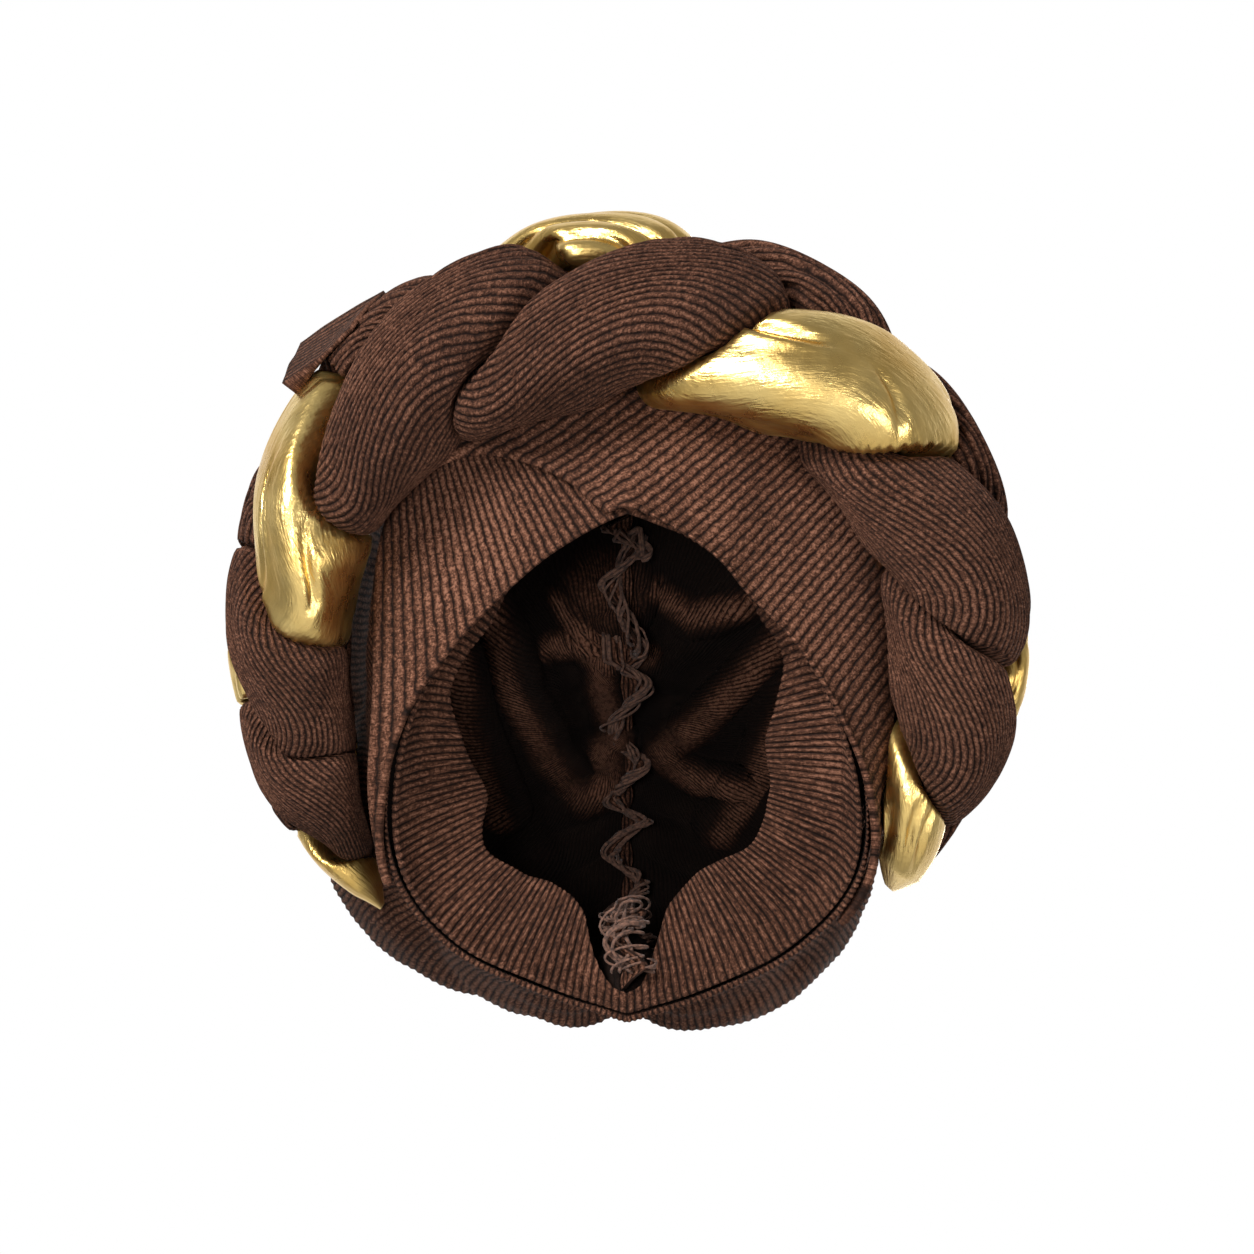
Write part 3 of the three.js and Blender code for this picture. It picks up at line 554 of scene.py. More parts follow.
def strand_piece(name, lobe, ribbed):
    sections = 340 if ribbed else 320
    cols = STRAND_RIBS * 4 if ribbed else 160
    t = np.linspace(STRAND_ENDS[lobe][0], STRAND_ENDS[lobe][1], sections)
    fine = np.linspace(0, 2 * math.pi, 361)[:-1]
    braid, own_a, own_o, reach = strand_reach(lobe, t, fine)
    v = lengths(in_braid(braid, own_a, own_o))
    # Distance to the nearer end of the strand.
    tuck = np.minimum(v, v[-1] - v)
    rounding = np.clip(tuck / END_ROUND, 0, 1) ** 1.1
    reach = reach * np.sqrt(np.clip(0.08 + 0.92 * rounding, 0, 1))
    edge_a, edge_o = own_a + np.cos(fine) * reach, own_o + np.sin(fine) * reach
    ring_a, ring_o, reach = (np.hstack([r, r[:, :1]]) for r in (edge_a, edge_o, reach))
    run = np.hypot(np.diff(ring_a, axis=1), np.diff(ring_o, axis=1))
    run = np.hstack([np.zeros((sections, 1)), np.cumsum(run, 1)])
    share = np.arange(cols) / cols
    turns = np.append(fine, 2 * math.pi)
    theta = np.stack([np.interp(share * run[i, -1], run[i], turns) for i in range(sections)])
    theta = OUTLINE_SHARE * soften(theta, OUTLINE_SPREAD)
    theta = theta + 0.3 * 2 * math.pi * share
    far = np.stack([np.interp(theta[i], turns, reach[i]) for i in range(sections)])
    a, o = own_a + np.cos(theta) * far, own_o + np.sin(theta) * far
    na = np.roll(o, -1, 1) - np.roll(o, 1, 1)
    no = -(np.roll(a, -1, 1) - np.roll(a, 1, 1))
    size = np.maximum(np.hypot(na, no), 1e-9)
    na, no = na / size, no / size
    if (na * (a - own_a) + no * (o - own_o)).sum() < 0:
        na, no = -na, -no
    u = share * STRAND_RIBS
    taper = smooth(np.clip(tuck - RELIEF_START, 0, 99) / RELIEF_FADE)
    relief = relief_brown if ribbed else relief_gold
    depth = relief(u, v, t[:, None], np.degrees(theta), a / braid["wide"][:, None], lobe)
    if ribbed:
        depth = depth + STRAND_RIB_DEPTH * (1 - ridge(u))
    depth = np.minimum(depth * taper, RELIEF_MOST * far)
    points = in_braid(braid, a - na * depth, o - no * depth)
    return grid_mesh(name, points, cloth_uv(np.linspace(0, STRAND_RIBS, cols + 1), v))


# Deep pleats of the far side, which isn't seen from below.
def pleats(u, across, wander, density, deep, power):
    outer = smooth((across + PLEATS_FROM) / PLEATS_GROW)
    pleat = np.abs(np.sin(u * math.pi * density + wander))
    return outer * deep * (1 - pleat) ** power


# Pleats, long soft dents and fine unevenness of a brown strand.
def relief_brown(u, v, _t, _theta, across, lobe):
    seed = 11 + 7 * lobe
    depth = 1.3 * np.clip(noise(u * 0.2, v / 85, seed, 10), 0, 1)
    depth = depth + 0.5 * np.clip(noise(u * 0.5, v / 40, seed + 1, 25), 0, 1)
    wander = 1.1 * noise(u * 0.2, v / 90, seed + 2, 10)
    return depth + pleats(u, across, wander, 0.28, 4.6, 1.3)


# Creases of the gold strand: middle lobe value, half length, ray angle, half width and depth.
GOLD_CREASES = [
    (3.0, 0.42, 186, 5, 2.6), (2.95, 0.5, 128, 4, 1.2), (2.95, 0.5, 137, 4, -0.9),
    (5.82, 0.3, 122, 6, 4.5), (5.84, 0.3, 136, 6, -1.8), (6.45, 0.16, 160, 5, 2.5),
    (6.1, 0.5, 232, 9, 1.2), (8.9, 0.3, 150, 6, 2.4), (8.95, 0.3, 172, 6, 2.0),
    (9.0, 0.3, 205, 7, 2.2),
]


# Pleats, soft dents and the creases of the gold strand.
def relief_gold(u, v, t, theta, across, _lobe):
    depth = 1.1 * np.clip(noise(u * 0.14, v / 60, 5, 7), 0, 1)
    for at, long, angle, wide, deep in GOLD_CREASES:
        along = np.clip(1 - ((t - at) / long) ** 2, 0, 1)
        depth = depth + deep * along * bell(theta - angle - 14 * (t - at) / long, wide)
    wander = 1.2 * noise(u * 0.2, v / 70, 8, 10)
    return depth + pleats(u, across, wander, 0.2, 4.2, 1.5)


# Angles round the hem that lie evenly along it.
def even_angles(count):
    fine = np.linspace(-180, 180, 1441)
    r = hem_reach(fine)
    p = np.stack([r * np.sin(np.radians(fine)), r * np.cos(np.radians(fine))], -1)
    run = lengths(p)
    return np.interp(np.linspace(0, run[-1], count + 1)[:-1], run, fine)


# Where the bands hide the hem, the cap starts a little higher and its cloth is thinner.
HEM_LIFT, HEM_THIN, BANDS_END, BANDS_FADE = 3.2, 0.55, 122, 22
CAP_RIBS, CAP_ROWS, CAP_RIB_DEPTH, CAP_DENTS = 264, 88, 0.5, 1.3


def behind_bands(angle):
    return smooth((BANDS_END - np.abs(angle)) / BANDS_FADE)


def cap_piece():
    cols, rows = CAP_RIBS * 2, CAP_ROWS
    angles = even_angles(cols)
    share = np.linspace(0, 1, rows)[:, None]
    heights = (CAP_TOP - 0.4) * np.sin(math.pi / 2 * share) ** 1.1
    hidden = behind_bands(angles)
    a = np.tile(angles, rows)
    flat = heights + HEM_LIFT * hidden * (1 - heights / CAP_TOP)
    h = flat.ravel()
    p = cap_point(a, h)
    n = outward(cap_point, a, h)
    p, n = p.reshape(rows, cols, 3), n.reshape(rows, cols, 3)
    u = np.arange(cols) / 2
    thin = CLOTH * (1 - HEM_THIN * hidden * (1 - smooth(heights / 10)))
    # Ribs and dents fade out towards the pole.
    fade = smooth((CAP_TOP - heights) / 40)
    groove = CAP_RIB_DEPTH * (1 - ridge(u)) * fade
    soft = noise(u * 0.25, heights / 16, 3, 44)
    soft = np.clip(CAP_DENTS * soft * smooth(heights / 30) * fade, 0, 2)
    outer = p - n * (groove + soft)[..., None]
    rib = CAP_RIB_DEPTH * (ridge(u) - 0.5) * fade
    inner = p - n * (thin + soft - rib)[..., None]
    inner[0, :, 2] = outer[0, :, 2]
    # A rounded lip joins both faces along the hem.
    turn = np.linspace(0, math.pi, 7)[1:-1]
    middle, half = (outer[0] + inner[0]) / 2, (outer[0] - inner[0]) / 2
    down = np.array([0.0, 0.0, -1.3])
    lip = [middle + half * math.cos(f) + down * math.sin(f) for f in turn]
    ring = np.concatenate([outer[::-1], lip, inner])
    uv = cloth_uv(np.linspace(0, CAP_RIBS, cols + 1), lengths(ring[:, 0])[:, None])
    piece = grid_mesh("cap_knit", ring, uv)
    # Painted shade: inside, the cloth is darkened between the folds and low in the cap; outside, a
    # band just above the hem is darkened all round for the recess under the puffed back. The crests
    # of the folds inside get painted light.
    inside = 0.13 + 1.3 * roll_mask(p[..., 0], p[..., 1]) ** 1.7
    inside = inside * smooth((flat - 60) / 40) + 0.16 * (1 - smooth((flat - 60) / 40))
    inside = np.maximum(inside, 1 - smooth(flat / 3))
    # Painted shade in a band just above the hem, on the outer face.
    recess = 1 - 0.4 * smooth(flat / 3) * (1 - smooth((flat - 14) / 12))
    painted_shade = np.concatenate([recess[::-1], np.ones((len(lip), cols)), inside])
    values = np.append(painted_shade.ravel(), [1.0, painted_shade[-1, 0]])
    layer = piece.data.attributes.new("painted_shade", "FLOAT", "POINT")
    layer.data.foreach_set("value", values.astype(np.float32))
    return piece


CUFF_RIBS, CUFF_ROWS, CUFF_RIB_DEPTH, CUFF_WAVE = 176, 30, 0.55, 1.4
# In front the cuff leans outwards and is lower. A crease bends its right, a dent its left.
CUFF_FRONT = dict(angle=46, fade=26, out=9, down=12)
CUFF_CREASE, CUFF_DENT = 8.5, dict(angle=-128, width=16, depth=6)


def cuff_piece():
    cols, rows = CUFF_RIBS * 3, CUFF_ROWS
    angles = even_angles(cols)
    side = by_side(CUFF, angles)
    height = column(CUFF, "height", np.abs(angles))
    front = smooth((CUFF_FRONT["angle"] - np.abs(angles)) / CUFF_FRONT["fade"])
    side = side + CUFF_FRONT["out"] * front
    height = height - CUFF_FRONT["down"] * front
    hidden = behind_bands(angles)
    low = CUFF_LOW + (HEM_LIFT + 0.6) * hidden
    base = plain_point(angles, low)
    start = np.hypot(base[:, 0], base[:, 1]) - CLOTH * (2 - HEM_THIN * hidden) - CUFF_AIR
    dr, dh = side - start, height - low
    long = np.hypot(dr, dh)
    f = np.linspace(0, 1, rows)[:, None]
    bow = 4 * CUFF_BOW * f * (1 - f) * np.minimum(long / 30, 1)
    bent = smooth((angles - 62) / 14) * smooth((152 - angles) / 16)
    crest = 0.42 + 0.1 * np.sin(np.radians(angles - 90) * 2)
    fall = np.abs(f - crest) / np.where(f < crest, crest, 1 - crest)
    bow = bow + CUFF_CREASE * bent * (1 - fall)
    dent = bell(angles - CUFF_DENT["angle"], CUFF_DENT["width"])
    bow = bow - CUFF_DENT["depth"] * dent * smooth(f / 0.7)
    u = np.arange(cols) / 3
    wave = CUFF_WAVE * f * noise(u * 0.2, f * 1.5, 8, 35)
    nr, nh = dh / long, -dr / long
    r, h = start + dr * f + nr * bow, low + dh * f + nh * bow
    a = np.radians(angles)
    faces = []
    for lift, back in ((0, -1), (CLOTH, 1)):
        relief = wave + lift + back * CUFF_RIB_DEPTH * (ridge(u) - 0.5)
        rr, hh = r + nr * relief, h + nh * relief
        faces.append(np.stack([rr * np.sin(a), rr * np.cos(a), hh], -1))
    edge = (faces[0][-1:] + faces[1][-1:]) / 2
    lift = np.stack([-nh * np.sin(a), -nh * np.cos(a), nr], -1)
    base = (faces[0][:1] + faces[1][:1]) / 2 - lift
    ring = np.concatenate([base, faces[0], edge + lift, faces[1][::-1]])
    run = lengths(ring[:, 0])
    uv = cloth_uv(np.linspace(0, CUFF_RIBS, cols + 1)[:, None], np.append(run, run[-1] + 2))
    return grid_mesh("cuff_knit", ring.transpose(1, 0, 2), uv, loop=True)


# How forward and height make up the photo's upward direction.
VIEW_UP = 0.9907, 0.1374
# The rolled lower edge of a band: its rounding, its roll and the row of stitches along it.
EDGE_ROUND, EDGE_ROLL, STITCH_HIGH, STITCH_PITCH = 2.4, 0.7, 0.22, 3.1
# The upper band stands out more near the crossing.
CROSSING_LIFT, BAND_DENTS = 1.6, 0.6


# A band with a soft rolled lower edge. Its ribs fan out in the view plane from a pivot, which is
# given with a place on the band where the ribs have their pitch: across and up of both.
def band_piece(name, rows, pivot, pitch):
    sections, steps = 320, 46
    angle = np.linspace(rows["angle"][0], rows["angle"][-1], sections)
    low, high = (column(rows, name, angle) for name in ("low", "high"))
    f = np.linspace(0, 1, steps) ** 1.25
    h = low[:, None] + (high - low)[:, None] * f
    a = np.repeat(angle[:, None], steps, 1)
    on = cap_point(a.ravel(), h.ravel()).reshape(sections, steps, 3)
    normal = outward(cap_point, a.ravel(), np.maximum(h, 3).ravel()).reshape(sections, steps, 3)
    if rows is BAND_UNDER:
        lift = np.full_like(a, AIR)
    else:
        lift = AIR + (CLOTH + AIR) * smooth((34 - a) / 11)
    edge = lengths(on[:, 0])
    width = lengths(on.transpose(1, 0, 2)).T
    if rows is BAND_OVER:
        lift = lift + CROSSING_LIFT * smooth((14 - a) / 16) * bell(width, 8)
    inset = 1 - np.clip(width / EDGE_ROUND, 0, 1)
    round_edge = 1 - np.sqrt(np.clip(1 - inset**2, 0, 1))
    roll = bell(width - 2.2, 2.0) * EDGE_ROLL
    stitches = STITCH_HIGH * np.sin(2 * math.pi * edge[:, None] / STITCH_PITCH - width)
    stitches = stitches * bell(width - 1, 2)
    soft = BAND_DENTS * noise(edge[:, None] / 24, width / 18, 21 if rows is BAND_UNDER else 22)
    near = on + normal * (lift + 0.5 * CLOTH * round_edge)[..., None]
    rise = lift + CLOTH - 0.5 * CLOTH * round_edge + roll + stitches + soft * smooth(width / 6)
    far = on + normal * rise[..., None]
    far[:, -1] = near[:, -1] + normal[:, -1] * 1.2
    along = VIEW_UP[0] * on[..., 1] + VIEW_UP[1] * on[..., 2] - pivot[1]
    across = on[..., 0] - pivot[0]
    reach = math.hypot(pivot[2] - pivot[0], pivot[3] - pivot[1])
    turn = np.unwrap(np.unwrap(np.arctan2(along, across), axis=0), axis=1)
    u = turn * reach / pitch
    v = np.hypot(along, across)
    return two_faced(name, near, far, cloth_uv(there_and_back(u), there_and_back(v)))


# How far the tab's ends move along the braid from those of the solid.
ROOT_SHIFT, TIP_SHIFT = 0.19, 0.05


# The folded flat end of cloth, thin at its free edges.
def tab_piece():
    steps, across = 30, 24
    f = np.linspace(0, 1, steps)
    long = TAB["tip"] - TIP_SHIFT - TAB["root"] + ROOT_SHIFT
    t = TAB["root"] - ROOT_SHIFT + long * f
    braid = braid_at(t)
    a = np.repeat(np.linspace(TAB["low"], TAB["high"], across)[None, :], steps, 0)
    root, tip = braid_at(t[:1]), braid_at(t[-1:])
    p = in_braid(root, a[:1], np.full((1, across), TAB["root_out"]))[0]
    q = in_braid(tip, a[:1], np.full((1, across), TAB["tip_out"] + 2))[0]
    outer = p[None] + (q - p)[None] * f[:, None, None]
    over = ((outer - braid["middle"][:, None]) * braid["out"][:, None]).sum(-1)
    skin = braid["deep"][:, None] * np.sqrt(1 - (a / braid["wide"][:, None]) ** 2) + AIR
    top = np.maximum(over, 0.98 * skin + 1.5 * f[:, None])
    under = np.maximum(top - TAB["thick"] - 4, 0.98 * skin - 1.2)
    fold = 0.5 * noise(a / 9, f[:, None] * 3, 31)
    near, far = in_braid(braid, a, under), in_braid(braid, a, top + fold)
    uv = cloth_uv(there_and_back(a / RIB_PITCH), (f * 40)[:, None])
    return two_faced("folded_tab_cloth", near, far, uv)


# Heights at which the seam starts at the nape, passes the crown and ends in front of it.
SEAM_START, SEAM_TOP, SEAM_DROP = 13, CAP_TOP - 3, CAP_TOP - 141
# The waves of the seam's free edge: how many, how wide and how tall.
RUFFLE_WAVES, RUFFLE_WIDE, RUFFLE_TALL, RUFFLE_HALF_THICK = 11, 6.6, 8.8, 0.8


# The seam's path inside the cap, up the back and over the crown.
def seam_path(count):
    f = np.linspace(0, 1, 161)
    back = SEAM_START + (SEAM_TOP - SEAM_START) * np.sin(math.pi / 2 * f)
    front = SEAM_TOP - SEAM_DROP * np.linspace(0, 1, 41)
    angle = np.concatenate([np.full(161, 180.0), np.zeros(41)])
    points = cap_point(angle, np.concatenate([back, front]))
    run = lengths(points)
    want = np.linspace(0, run[-1], count)
    path = at_lengths(want, run, points)
    d = np.gradient(path, axis=0)
    long = np.hypot(d[:, 1], d[:, 2])
    inward = np.stack([0 * long, d[:, 2] / long, -d[:, 1] / long], -1)
    return path, inward, want


# How the free edge of the seam wanders: distance across and height.
def ruffle_edge(run):
    turn = 2 * math.pi * RUFFLE_WAVES * run / run[-1] + 1.4 * noise(run / 30, 0, 40)
    wave = RUFFLE_WIDE * np.sin(turn) + 1.6 * noise(run / 9, 0, 41)
    return wave, RUFFLE_TALL + 1.8 * noise(run / 14, 0, 42)


def ruffle_piece():
    count, steps = 460, 11
    path, inward, run = seam_path(count)
    f = np.linspace(0, 1, steps)
    wave, tall = ruffle_edge(run)
    curl = 1.1 * noise(run[:, None] / 6, f * 2.2, 43) * f
    across = wave[:, None] * f**1.3 + curl - 0.25 * wave[:, None] * (1 - f)
    lift = CLOTH + 2 * AIR + tall[:, None] * f - 0.12 * np.abs(wave)[:, None] * f
    sides = []
    for side in (-RUFFLE_HALF_THICK, RUFFLE_HALF_THICK):
        base = path[:, None] + inward[:, None] * lift[..., None]
        base[..., 0] = across + side * (1 - 0.4 * f)
        sides.append(base)
    width = np.concatenate([f, f[::-1], [0]]) * 9
    return two_faced("seam_ruffle", *sides, cloth_uv(width / 1.8, run[:, None]))


# A direction in which no yarn runs, to start its section from.
NOT_ALONG = [0.31, 0.22, 0.93]


# Thin yarns as tubes round their paths, joined in one mesh.
def yarn_piece(name, paths, thick):
    verts, faces, sides = [], [], 6
    for path, size in zip(paths, thick):
        d = unit(np.gradient(path, axis=0))
        side = unit(np.cross(d, NOT_ALONG))
        up = np.cross(d, side)
        turn = np.linspace(0, 2 * math.pi, sides + 1)[:-1, None]
        n = len(path)
        # The ends taper over two sections.
        taper = np.minimum(np.minimum(np.arange(n), np.arange(n)[::-1]) / 2, 1)
        r = size * (0.35 + 0.65 * taper)
        round_path = side[:, None] * np.cos(turn) + up[:, None] * np.sin(turn)
        ring = path[:, None] + r[:, None, None] * round_path
        base = len(verts)
        verts.extend(place(ring).reshape(-1, 3).tolist())
        for a in range(base, base + (n - 1) * sides, sides):
            b = a + sides
            for j in range(sides):
                k = (j + 1) % sides
                faces.append([a + j, a + k, b + k, b + j])
        faces.append([base + j for j in range(sides)][::-1])
        faces.append([base + (n - 1) * sides + j for j in range(sides)])
    return in_scene(name, new_mesh(name, verts, faces))


# Yarn along the free edge of the seam, in loose linked loops that widen at the nape.
def seam_yarns():
    path, inward, run = seam_path(900)
    wave, tall = ruffle_edge(run)
    paths, thick = [], []
    for k in range(8):
        s = np.linspace(3, run[-1] - 6, 1000)
        spot, inn = at_lengths(s, run, path), at_lengths(s, run, inward)
        nape = bell(s - 22, 44)
        loose = 1 + 0.7 * noise(s / 19, k, 50 + k)
        pitch = 15 + 2.5 * (k % 3)
        turn = 2 * math.pi * s / pitch + k * math.pi / 3 + 2.6 * noise(s / 17, k, 60 + k)
        depth = CLOTH + 2 * AIR + np.interp(s, run, tall) * (0.85 + 0.3 * loose * np.cos(turn))
        side = np.interp(s, run, wave) * (0.95 - 0.7 * nape)
        side = side + (2.6 + 3.4 * nape) * loose * np.sin(turn)
        spot = spot + inn * (depth + 3 * nape * np.cos(turn / 2))[:, None]
        spot[:, 0] = side
        paths.append(spot)
        thick.append(0.48 + 0.12 * (k % 3))
    return yarn_piece("seam_serging", paths, thick)


# Chains of thin thread that run round inside the cap from the centre seam to each side.
def side_yarns():
    paths, thick = [], []
    for side in (-1, 1):
        for k in range(3):
            f = np.linspace(0, 1, 420)
            angle = side * (176 - 88 * f)
            height = 46 + 22 * f + 3.0 * noise(f * 9, k, 70 + k + side) + 2 * math.sin(k)
            p = cap_point(angle, height)
            n = outward(cap_point, angle, height)
            s = f * 150
            turn = 2 * math.pi * s / (6 + k) + k * 2
            lift = CLOTH + 1.6 + 0.9 * np.cos(turn) + 0.6 * noise(s / 7, k, 80 + k)
            spot = p - n * lift[:, None]
            spot[:, 2] += 1.3 * np.sin(turn)
            paths.append(spot)
            thick.append(0.26)
    return yarn_piece("side_serging", paths, thick)


# Materials
class Nodes:
    def __init__(self, tree):
        self.tree = tree

    # Links a socket to another node's output, or gives it a plain value.
    def feed(self, socket, value):
        if hasattr(value, "is_output"):
            self.tree.links.new(value, socket)
        else:
            socket.default_value = value

    def add(self, kind, **inputs):
        node = self.tree.nodes.new(kind)
        for key, value in inputs.items():
            if hasattr(node, key) and key not in node.inputs:
                setattr(node, key, value)
            else:
                self.feed(node.inputs[key], value)
        return node

    def numbered(self, node, values):
        for socket, value in zip(node.inputs, values):
            self.feed(socket, value)
        return node.outputs[0]

    def math(self, operation, *values):
        return self.numbered(self.add("ShaderNodeMath", operation=operation), values)

    def plus(self, a, b):
        return self.math("ADD", a, b)

    def minus(self, a, b):
        return self.math("SUBTRACT", a, b)

    def times(self, a, b):
        return self.math("MULTIPLY", a, b)

    # 0 at whole numbers and 1 half way between them.
    def wave(self, value):
        return self.math("ABSOLUTE", self.math("SINE", self.times(value, math.pi)))

    def combine(self, x, y):
        return self.numbered(self.add("ShaderNodeCombineXYZ"), (x, y))

    def noise(self, vector, scale, detail=2.0, rough=0.5):
        node = self.add(
            "ShaderNodeTexNoise", Vector=vector, Scale=scale, Detail=detail, Roughness=rough
        )
        return node.outputs["Fac"]

    # Noise drawn out over the cloth by factors across and along the ribs.
    def cloth_noise(self, u, v, across, along, scale=1.0, detail=3, rough=0.5):
        spot = self.combine(self.times(u, across), self.times(v, along))
        return self.noise(spot, scale, detail, rough)

    def ramp(self, value, stops):
        node = self.tree.nodes.new("ShaderNodeValToRGB")
        ramp = node.color_ramp
        while len(ramp.elements) < len(stops):
            ramp.elements.new(0.5)
        for element, (at, colour) in zip(ramp.elements, stops):
            element.position = at
            element.color = (*colour, 1)
        self.tree.links.new(value, node.inputs["Fac"])
        return node.outputs["Color"]

    def spread(self, value, low, high, to_low=0.0, to_high=1.0):
        node = self.tree.nodes.new("ShaderNodeMapRange")
        names = "Value", "From Min", "From Max", "To Min", "To Max"
        for key, number in zip(names, (value, low, high, to_low, to_high)):
            self.feed(node.inputs[key], number)
        return node.outputs["Result"]


# A principled material, with its plain values set on its sockets.
class Surface(Nodes):
    def __init__(self, name, **values):
        self.material = bpy.data.materials.new(name)
        self.material.use_nodes = True
        super().__init__(self.material.node_tree)
        self.tree.nodes.clear()
        self.shader = self.tree.nodes.new("ShaderNodeBsdfPrincipled")
        out = self.tree.nodes.new("ShaderNodeOutputMaterial")
        self.tree.links.new(self.shader.outputs[0], out.inputs[0])
        for key, value in values.items():
            self.shader.inputs[key.replace("_", " ")].default_value = value

    def colour(self, tone, stops):
        self.feed(self.shader.inputs["Base Color"], self.ramp(tone, stops))

    # Places in the object, in metres.
    def spot(self):
        return self.add("ShaderNodeTexCoord").outputs["Object"]

    # Cloth coordinates: ribs across, and millimetres along them.
    def cloth(self):
        cloth = self.add("ShaderNodeUVMap", uv_map="cloth").outputs[0]
        split = self.add("ShaderNodeSeparateXYZ", Vector=cloth)
        return split.outputs[0], split.outputs[1]

    def bump(self, high, strength, distance):
        bump = self.add("ShaderNodeBump", Strength=strength, Distance=distance, Height=high)
        self.feed(self.shader.inputs["Normal"], bump.outputs[0])


KNIT_COLOURS = [
    (0.0, (0.002, 0.0009, 0.0005)),
    (0.35, (0.02, 0.0075, 0.0042)),
    (0.7, (0.085, 0.034, 0.019)),
    (1.0, (0.21, 0.094, 0.057)),
]


# Brown ribbed knit with broken grooves, small stitches and stray fibres. Its open grooves get
# painted shade, bright raises all its colours for brighter painted copies, and the cap's copy also
# reads the cap's painted shade from an attribute.
def knit(name, bright=1.0, relief=0.9, painted_shade=False):
    n = Surface(name, Roughness=0.78, Specular_IOR_Level=0.14, Sheen_Weight=0.02)
    n.shader.inputs["Sheen Roughness"].default_value = 0.4
    n.shader.inputs["Sheen Tint"].default_value = (0.55, 0.34, 0.25, 1)
    u, v = n.cloth()
    spot = n.spot()
    # Ribs wander slowly, and their grooves close here and there.
    slow = n.cloth_noise(u, v, 0.7, 0.22)
    rib_at = n.plus(u, n.times(n.minus(slow, 0.5), 0.55))
    groove = n.math("FLOOR", n.plus(rib_at, 0.5))
    breaks = n.cloth_noise(groove, v, 7.3, 0.42, detail=2)
    open_groove = n.spread(breaks, 0.34, 0.56, 0.6, 1.0)
    crest = n.math("POWER", n.wave(rib_at), 0.6)
    # Painted shade in the open grooves, less where they close.
    shade = n.minus(1.0, n.times(open_groove, n.minus(1.0, crest)))
    # Slanting stitches, which start at another place on each rib.
    start = n.math("SINE", n.times(n.math("FLOOR", rib_at), 12.9898))
    start = n.math("FRACT", n.times(start, 437.5))
    jitter = n.cloth_noise(u, v, 1.7, 0.6)
    row = n.plus(n.times(v, 0.55), n.plus(start, n.times(jitter, 3.2)))
    stitch = n.wave(n.plus(row, n.times(n.math("FRACT", rib_at), 0.9)))
    # Yarn, stray fibres, speckle and slow patches.
    strands = n.cloth_noise(u, v, 4.2, 0.55, 1.5, 4, 0.7)
    weave = n.noise(n.combine(n.plus(n.times(u, 2.0), v), n.minus(v, u)), 0.8, 3, 0.6)
    hair = n.spread(n.math("ABSOLUTE", n.minus(weave, 0.5)), 0.0, 0.03, 1.0, 0.0)
    speckle = n.noise(spot, 700, 3, 0.65)
    tone = n.times(shade, n.spread(stitch, 0, 1, 0.68, 1.0))
    tone = n.times(tone, n.spread(speckle, 0.36, 0.62, 0.62, 1.12))
    tone = n.times(tone, n.spread(strands, 0.3, 0.7, 0.6, 1.25))
    tone = n.times(tone, n.spread(n.noise(spot, 24), 0.3, 0.7, 0.85, 1.12))
    tone = n.plus(tone, n.times(n.times(hair, shade), 0.22))
    # The cap's attribute of painted shade darkens the hollows between its folds and the band above
    # the hem, and lightens the fold crests.
    if painted_shade:
        tone = n.times(tone, n.add("ShaderNodeAttribute", attribute_name="painted_shade").outputs["Fac"])
    n.colour(tone, [(at, tuple(bright * c for c in colour)) for at, colour in KNIT_COLOURS])
    high = n.times(shade, relief)
    fuzz = n.noise(spot, 1500, 3, 0.7)
    for layer, share in ((n.times(stitch, shade), 0.26), (strands, 0.3), (hair, 0.1), (fuzz, 0.14)):
        high = n.plus(high, n.times(layer, share))
    n.bump(high, 1.0, 0.0012)
    return n.material


# Loose brown yarn.
def yarn(name):
    n = Surface(name, Roughness=0.8, Sheen_Weight=0.1)
    spot = n.spot()
    n.colour(n.noise(spot, 700), [(0.3, (0.03, 0.012, 0.007)), (0.7, (0.19, 0.09, 0.056))])
    n.bump(n.noise(spot, 2200), 0.6, 0.0004)
    return n.material


# Gold foil cloth: bright metal with fine crinkles and slightly duller patches.
def foil(name):
    n = Surface(name, Metallic=1.0)
    spot = n.spot()
    u, v = n.cloth()
    n.colour(n.noise(spot, 38, 3), [(0.3, (0.76, 0.48, 0.13)), (0.7, (0.95, 0.7, 0.27))])
    dull = n.spread(n.noise(spot, 90, 3), 0.35, 0.65, 0.24, 0.38)
    n.feed(n.shader.inputs["Roughness"], dull)
    lines = n.cloth_noise(u, v, 1.0, 0.07, 1.3, 3, 0.6)
    high = n.plus(lines, n.times(n.noise(spot, 260, 4, 0.62), 0.55))
    high = n.plus(high, n.times(n.noise(spot, 1500), 0.05))
    n.bump(high, 0.35, 0.0014)
    return n.material


def plain_floor(name):
    n = Surface(name, Roughness=0.9)
    n.colour(n.noise(n.spot(), 3), [(0.3, (0.8, 0.8, 0.79)), (0.7, (0.84, 0.84, 0.83))])
    return n.material


# Pieces
# Copies of one knit: the cap's is a little brighter and carries painted shade, and the bands and
# centre seam get a brighter copy still, painted light.
brown = knit("brown_ribbed_knit")
cap_brown = knit("brown_ribbed_cap", 1.1, 0.9, painted_shade=True)
lit_brown = knit("brown_ribbed_band", 1.2, 1.3)
gold = foil("gold_foil_cloth")
thread = yarn("brown_yarn")

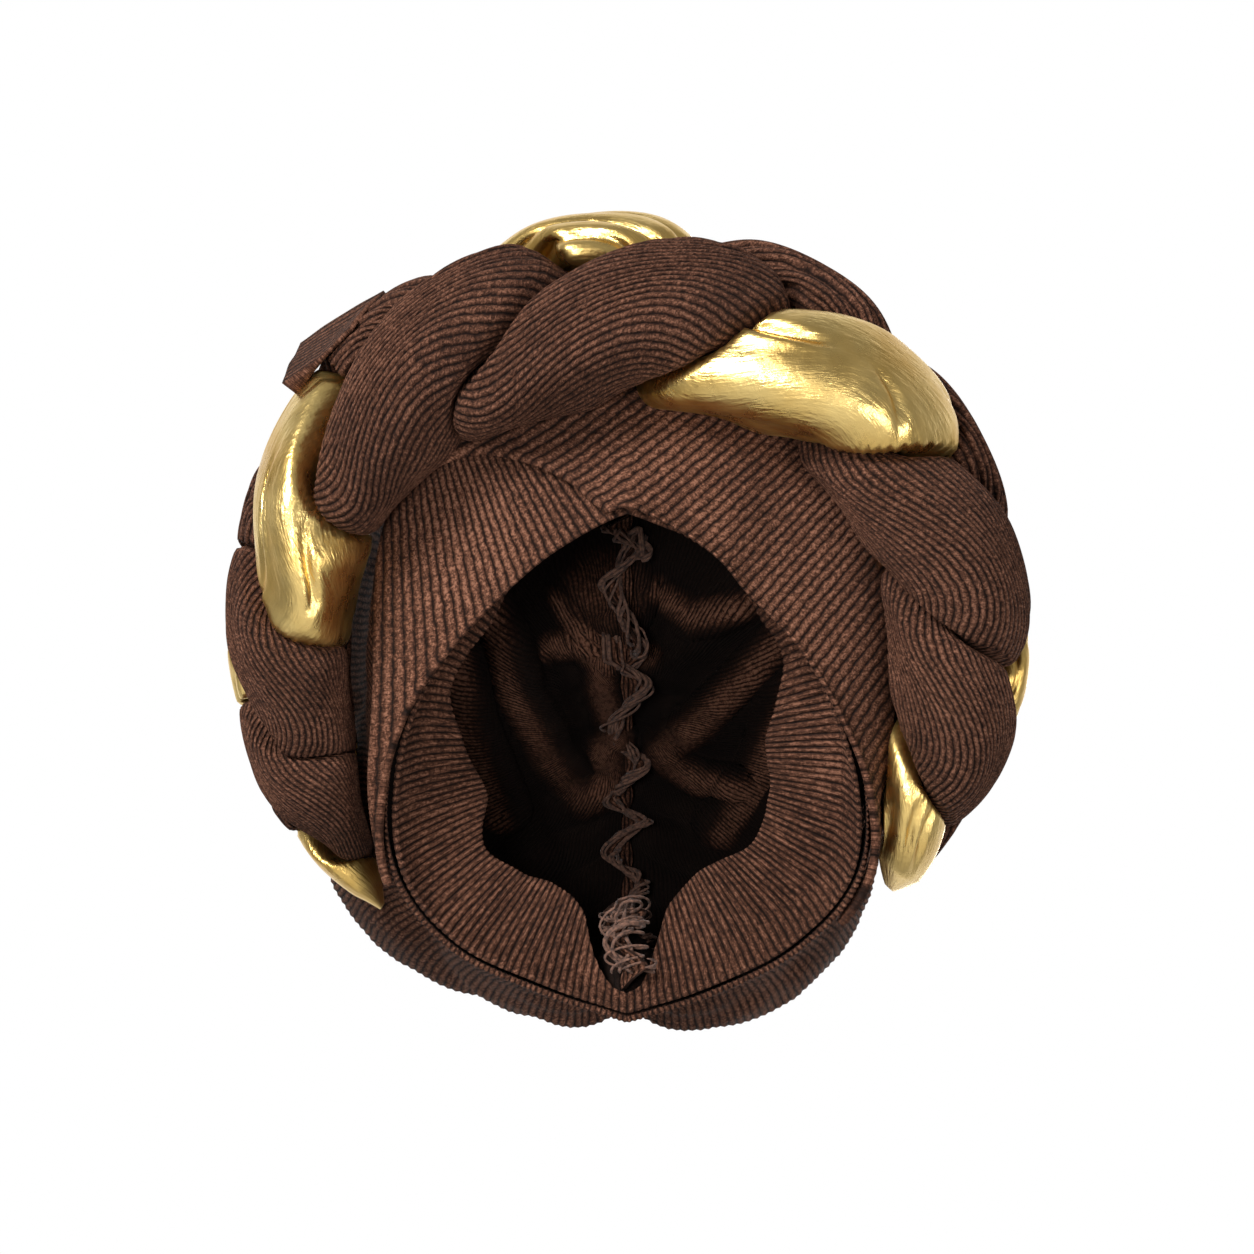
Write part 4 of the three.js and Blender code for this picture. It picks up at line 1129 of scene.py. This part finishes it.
cap = cap_piece()
cuff = cuff_piece()
under = band_piece("band_under_knit", BAND_UNDER, (-81, 186, -51, 73), 3.1)
over = band_piece("band_over_knit", BAND_OVER, (302, 340, 10, 95), 3.3)
strands = {
    node: strand_piece(node + "_padded", lobe, ribbed=lobe > 0)
    for lobe, node in enumerate(("strand_gold", "strand_brown_a", "strand_brown_b"))
}
tab = tab_piece()
ruffle = ruffle_piece()
serging = seam_yarns()
side_serging = side_yarns()

looks = [
    (cap, "cap", cap_brown),
    (cuff, "inner_cuff", brown),
    (under, "band_under", lit_brown),
    (over, "band_over", lit_brown),
    *((piece, node, gold if "gold" in node else brown) for node, piece in strands.items()),
    (tab, "folded_tab", brown),
    (ruffle, "centre_seam", lit_brown),
    (serging, None, thread),
    (side_serging, None, thread),
]
for piece, node, material in looks:
    piece.data.materials.append(material)
    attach(piece, "root")
    if node:
        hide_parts(node)


# Camera at the photo's angle, from below the opening.
AIM = np.array([0.0, -0.041, 0.029])
ELEVATION, DISTANCE = math.radians(-55), 2.4
SENSOR_MM, FRAME_WIDTH = 36, 0.439
camera_data = bpy.data.cameras.new("camera")
camera_data.lens = SENSOR_MM * DISTANCE / FRAME_WIDTH
camera_data.clip_end = 30
camera = in_scene("camera", camera_data)
back = np.array([0, -math.cos(ELEVATION), math.sin(ELEVATION)])
camera.location = AIM + back * DISTANCE
camera.rotation_euler = (math.pi / 2 - ELEVATION, 0, 0)
bpy.context.scene.camera = camera


# Soft studio light
def area_light(name, position, size, power):
    data = bpy.data.lights.new(name, "AREA")
    data.shape, data.size, data.energy = "DISK", size, power
    light = in_scene(name, data)
    light.location = position
    light.rotation_mode = "QUATERNION"
    away = Vector(np.array(position, float) - AIM)
    light.rotation_quaternion = away.to_track_quat("Z", "Y")


area_light("key", (-0.9, -1.45, -0.3), 0.6, 38)
area_light("front", (-0.25, -1.0, -1.25), 0.3, 11)
area_light("fill", (1.1, -0.5, -1.0), 0.7, 7)
area_light("rim", (0.2, 0.9, 1.3), 0.8, 10)

# A bright backdrop behind the wrap, with a dimmer room round it. It is bright in directions near
# the one that looks up through the opening, given by its forward and upward share.
BACKDROP_WAY, BACKDROP_FROM, BACKDROP_FULL = (0.5736, 0.8192), 0.35, 0.8
ROOM_GREY, BACKDROP_WHITE = (0.27, 0.27, 0.27), (1.0, 1.0, 1.0)
world = bpy.data.worlds.new("world")
world.use_nodes = True
sky = Nodes(world.node_tree)
direction = sky.add("ShaderNodeTexCoord").outputs["Generated"]
split = sky.add("ShaderNodeSeparateXYZ", Vector=direction)
ahead = sky.times(split.outputs[1], BACKDROP_WAY[0])
ahead = sky.plus(ahead, sky.times(split.outputs[2], BACKDROP_WAY[1]))
ahead = sky.spread(ahead, BACKDROP_FROM, BACKDROP_FULL)
backdrop = world.node_tree.nodes["Background"]
sky.feed(backdrop.inputs["Color"], sky.ramp(ahead, [(0.0, ROOM_GREY), (1.0, BACKDROP_WHITE)]))
backdrop.inputs["Strength"].default_value = 1.0
bpy.context.scene.world = world
bpy.context.scene.view_settings.view_transform = "Standard"

# A pale floor below the camera, which looks up.
FLOOR_HALF, FLOOR_Z = 3.0, -2.3
signs = (-1, -1), (1, -1), (1, 1), (-1, 1)
corners = [(x * FLOOR_HALF, y * FLOOR_HALF, FLOOR_Z) for x, y in signs]
floor = in_scene("floor", new_mesh("floor", corners, [(0, 1, 2, 3)]))
floor.data.materials.append(plain_floor("pale_floor"))
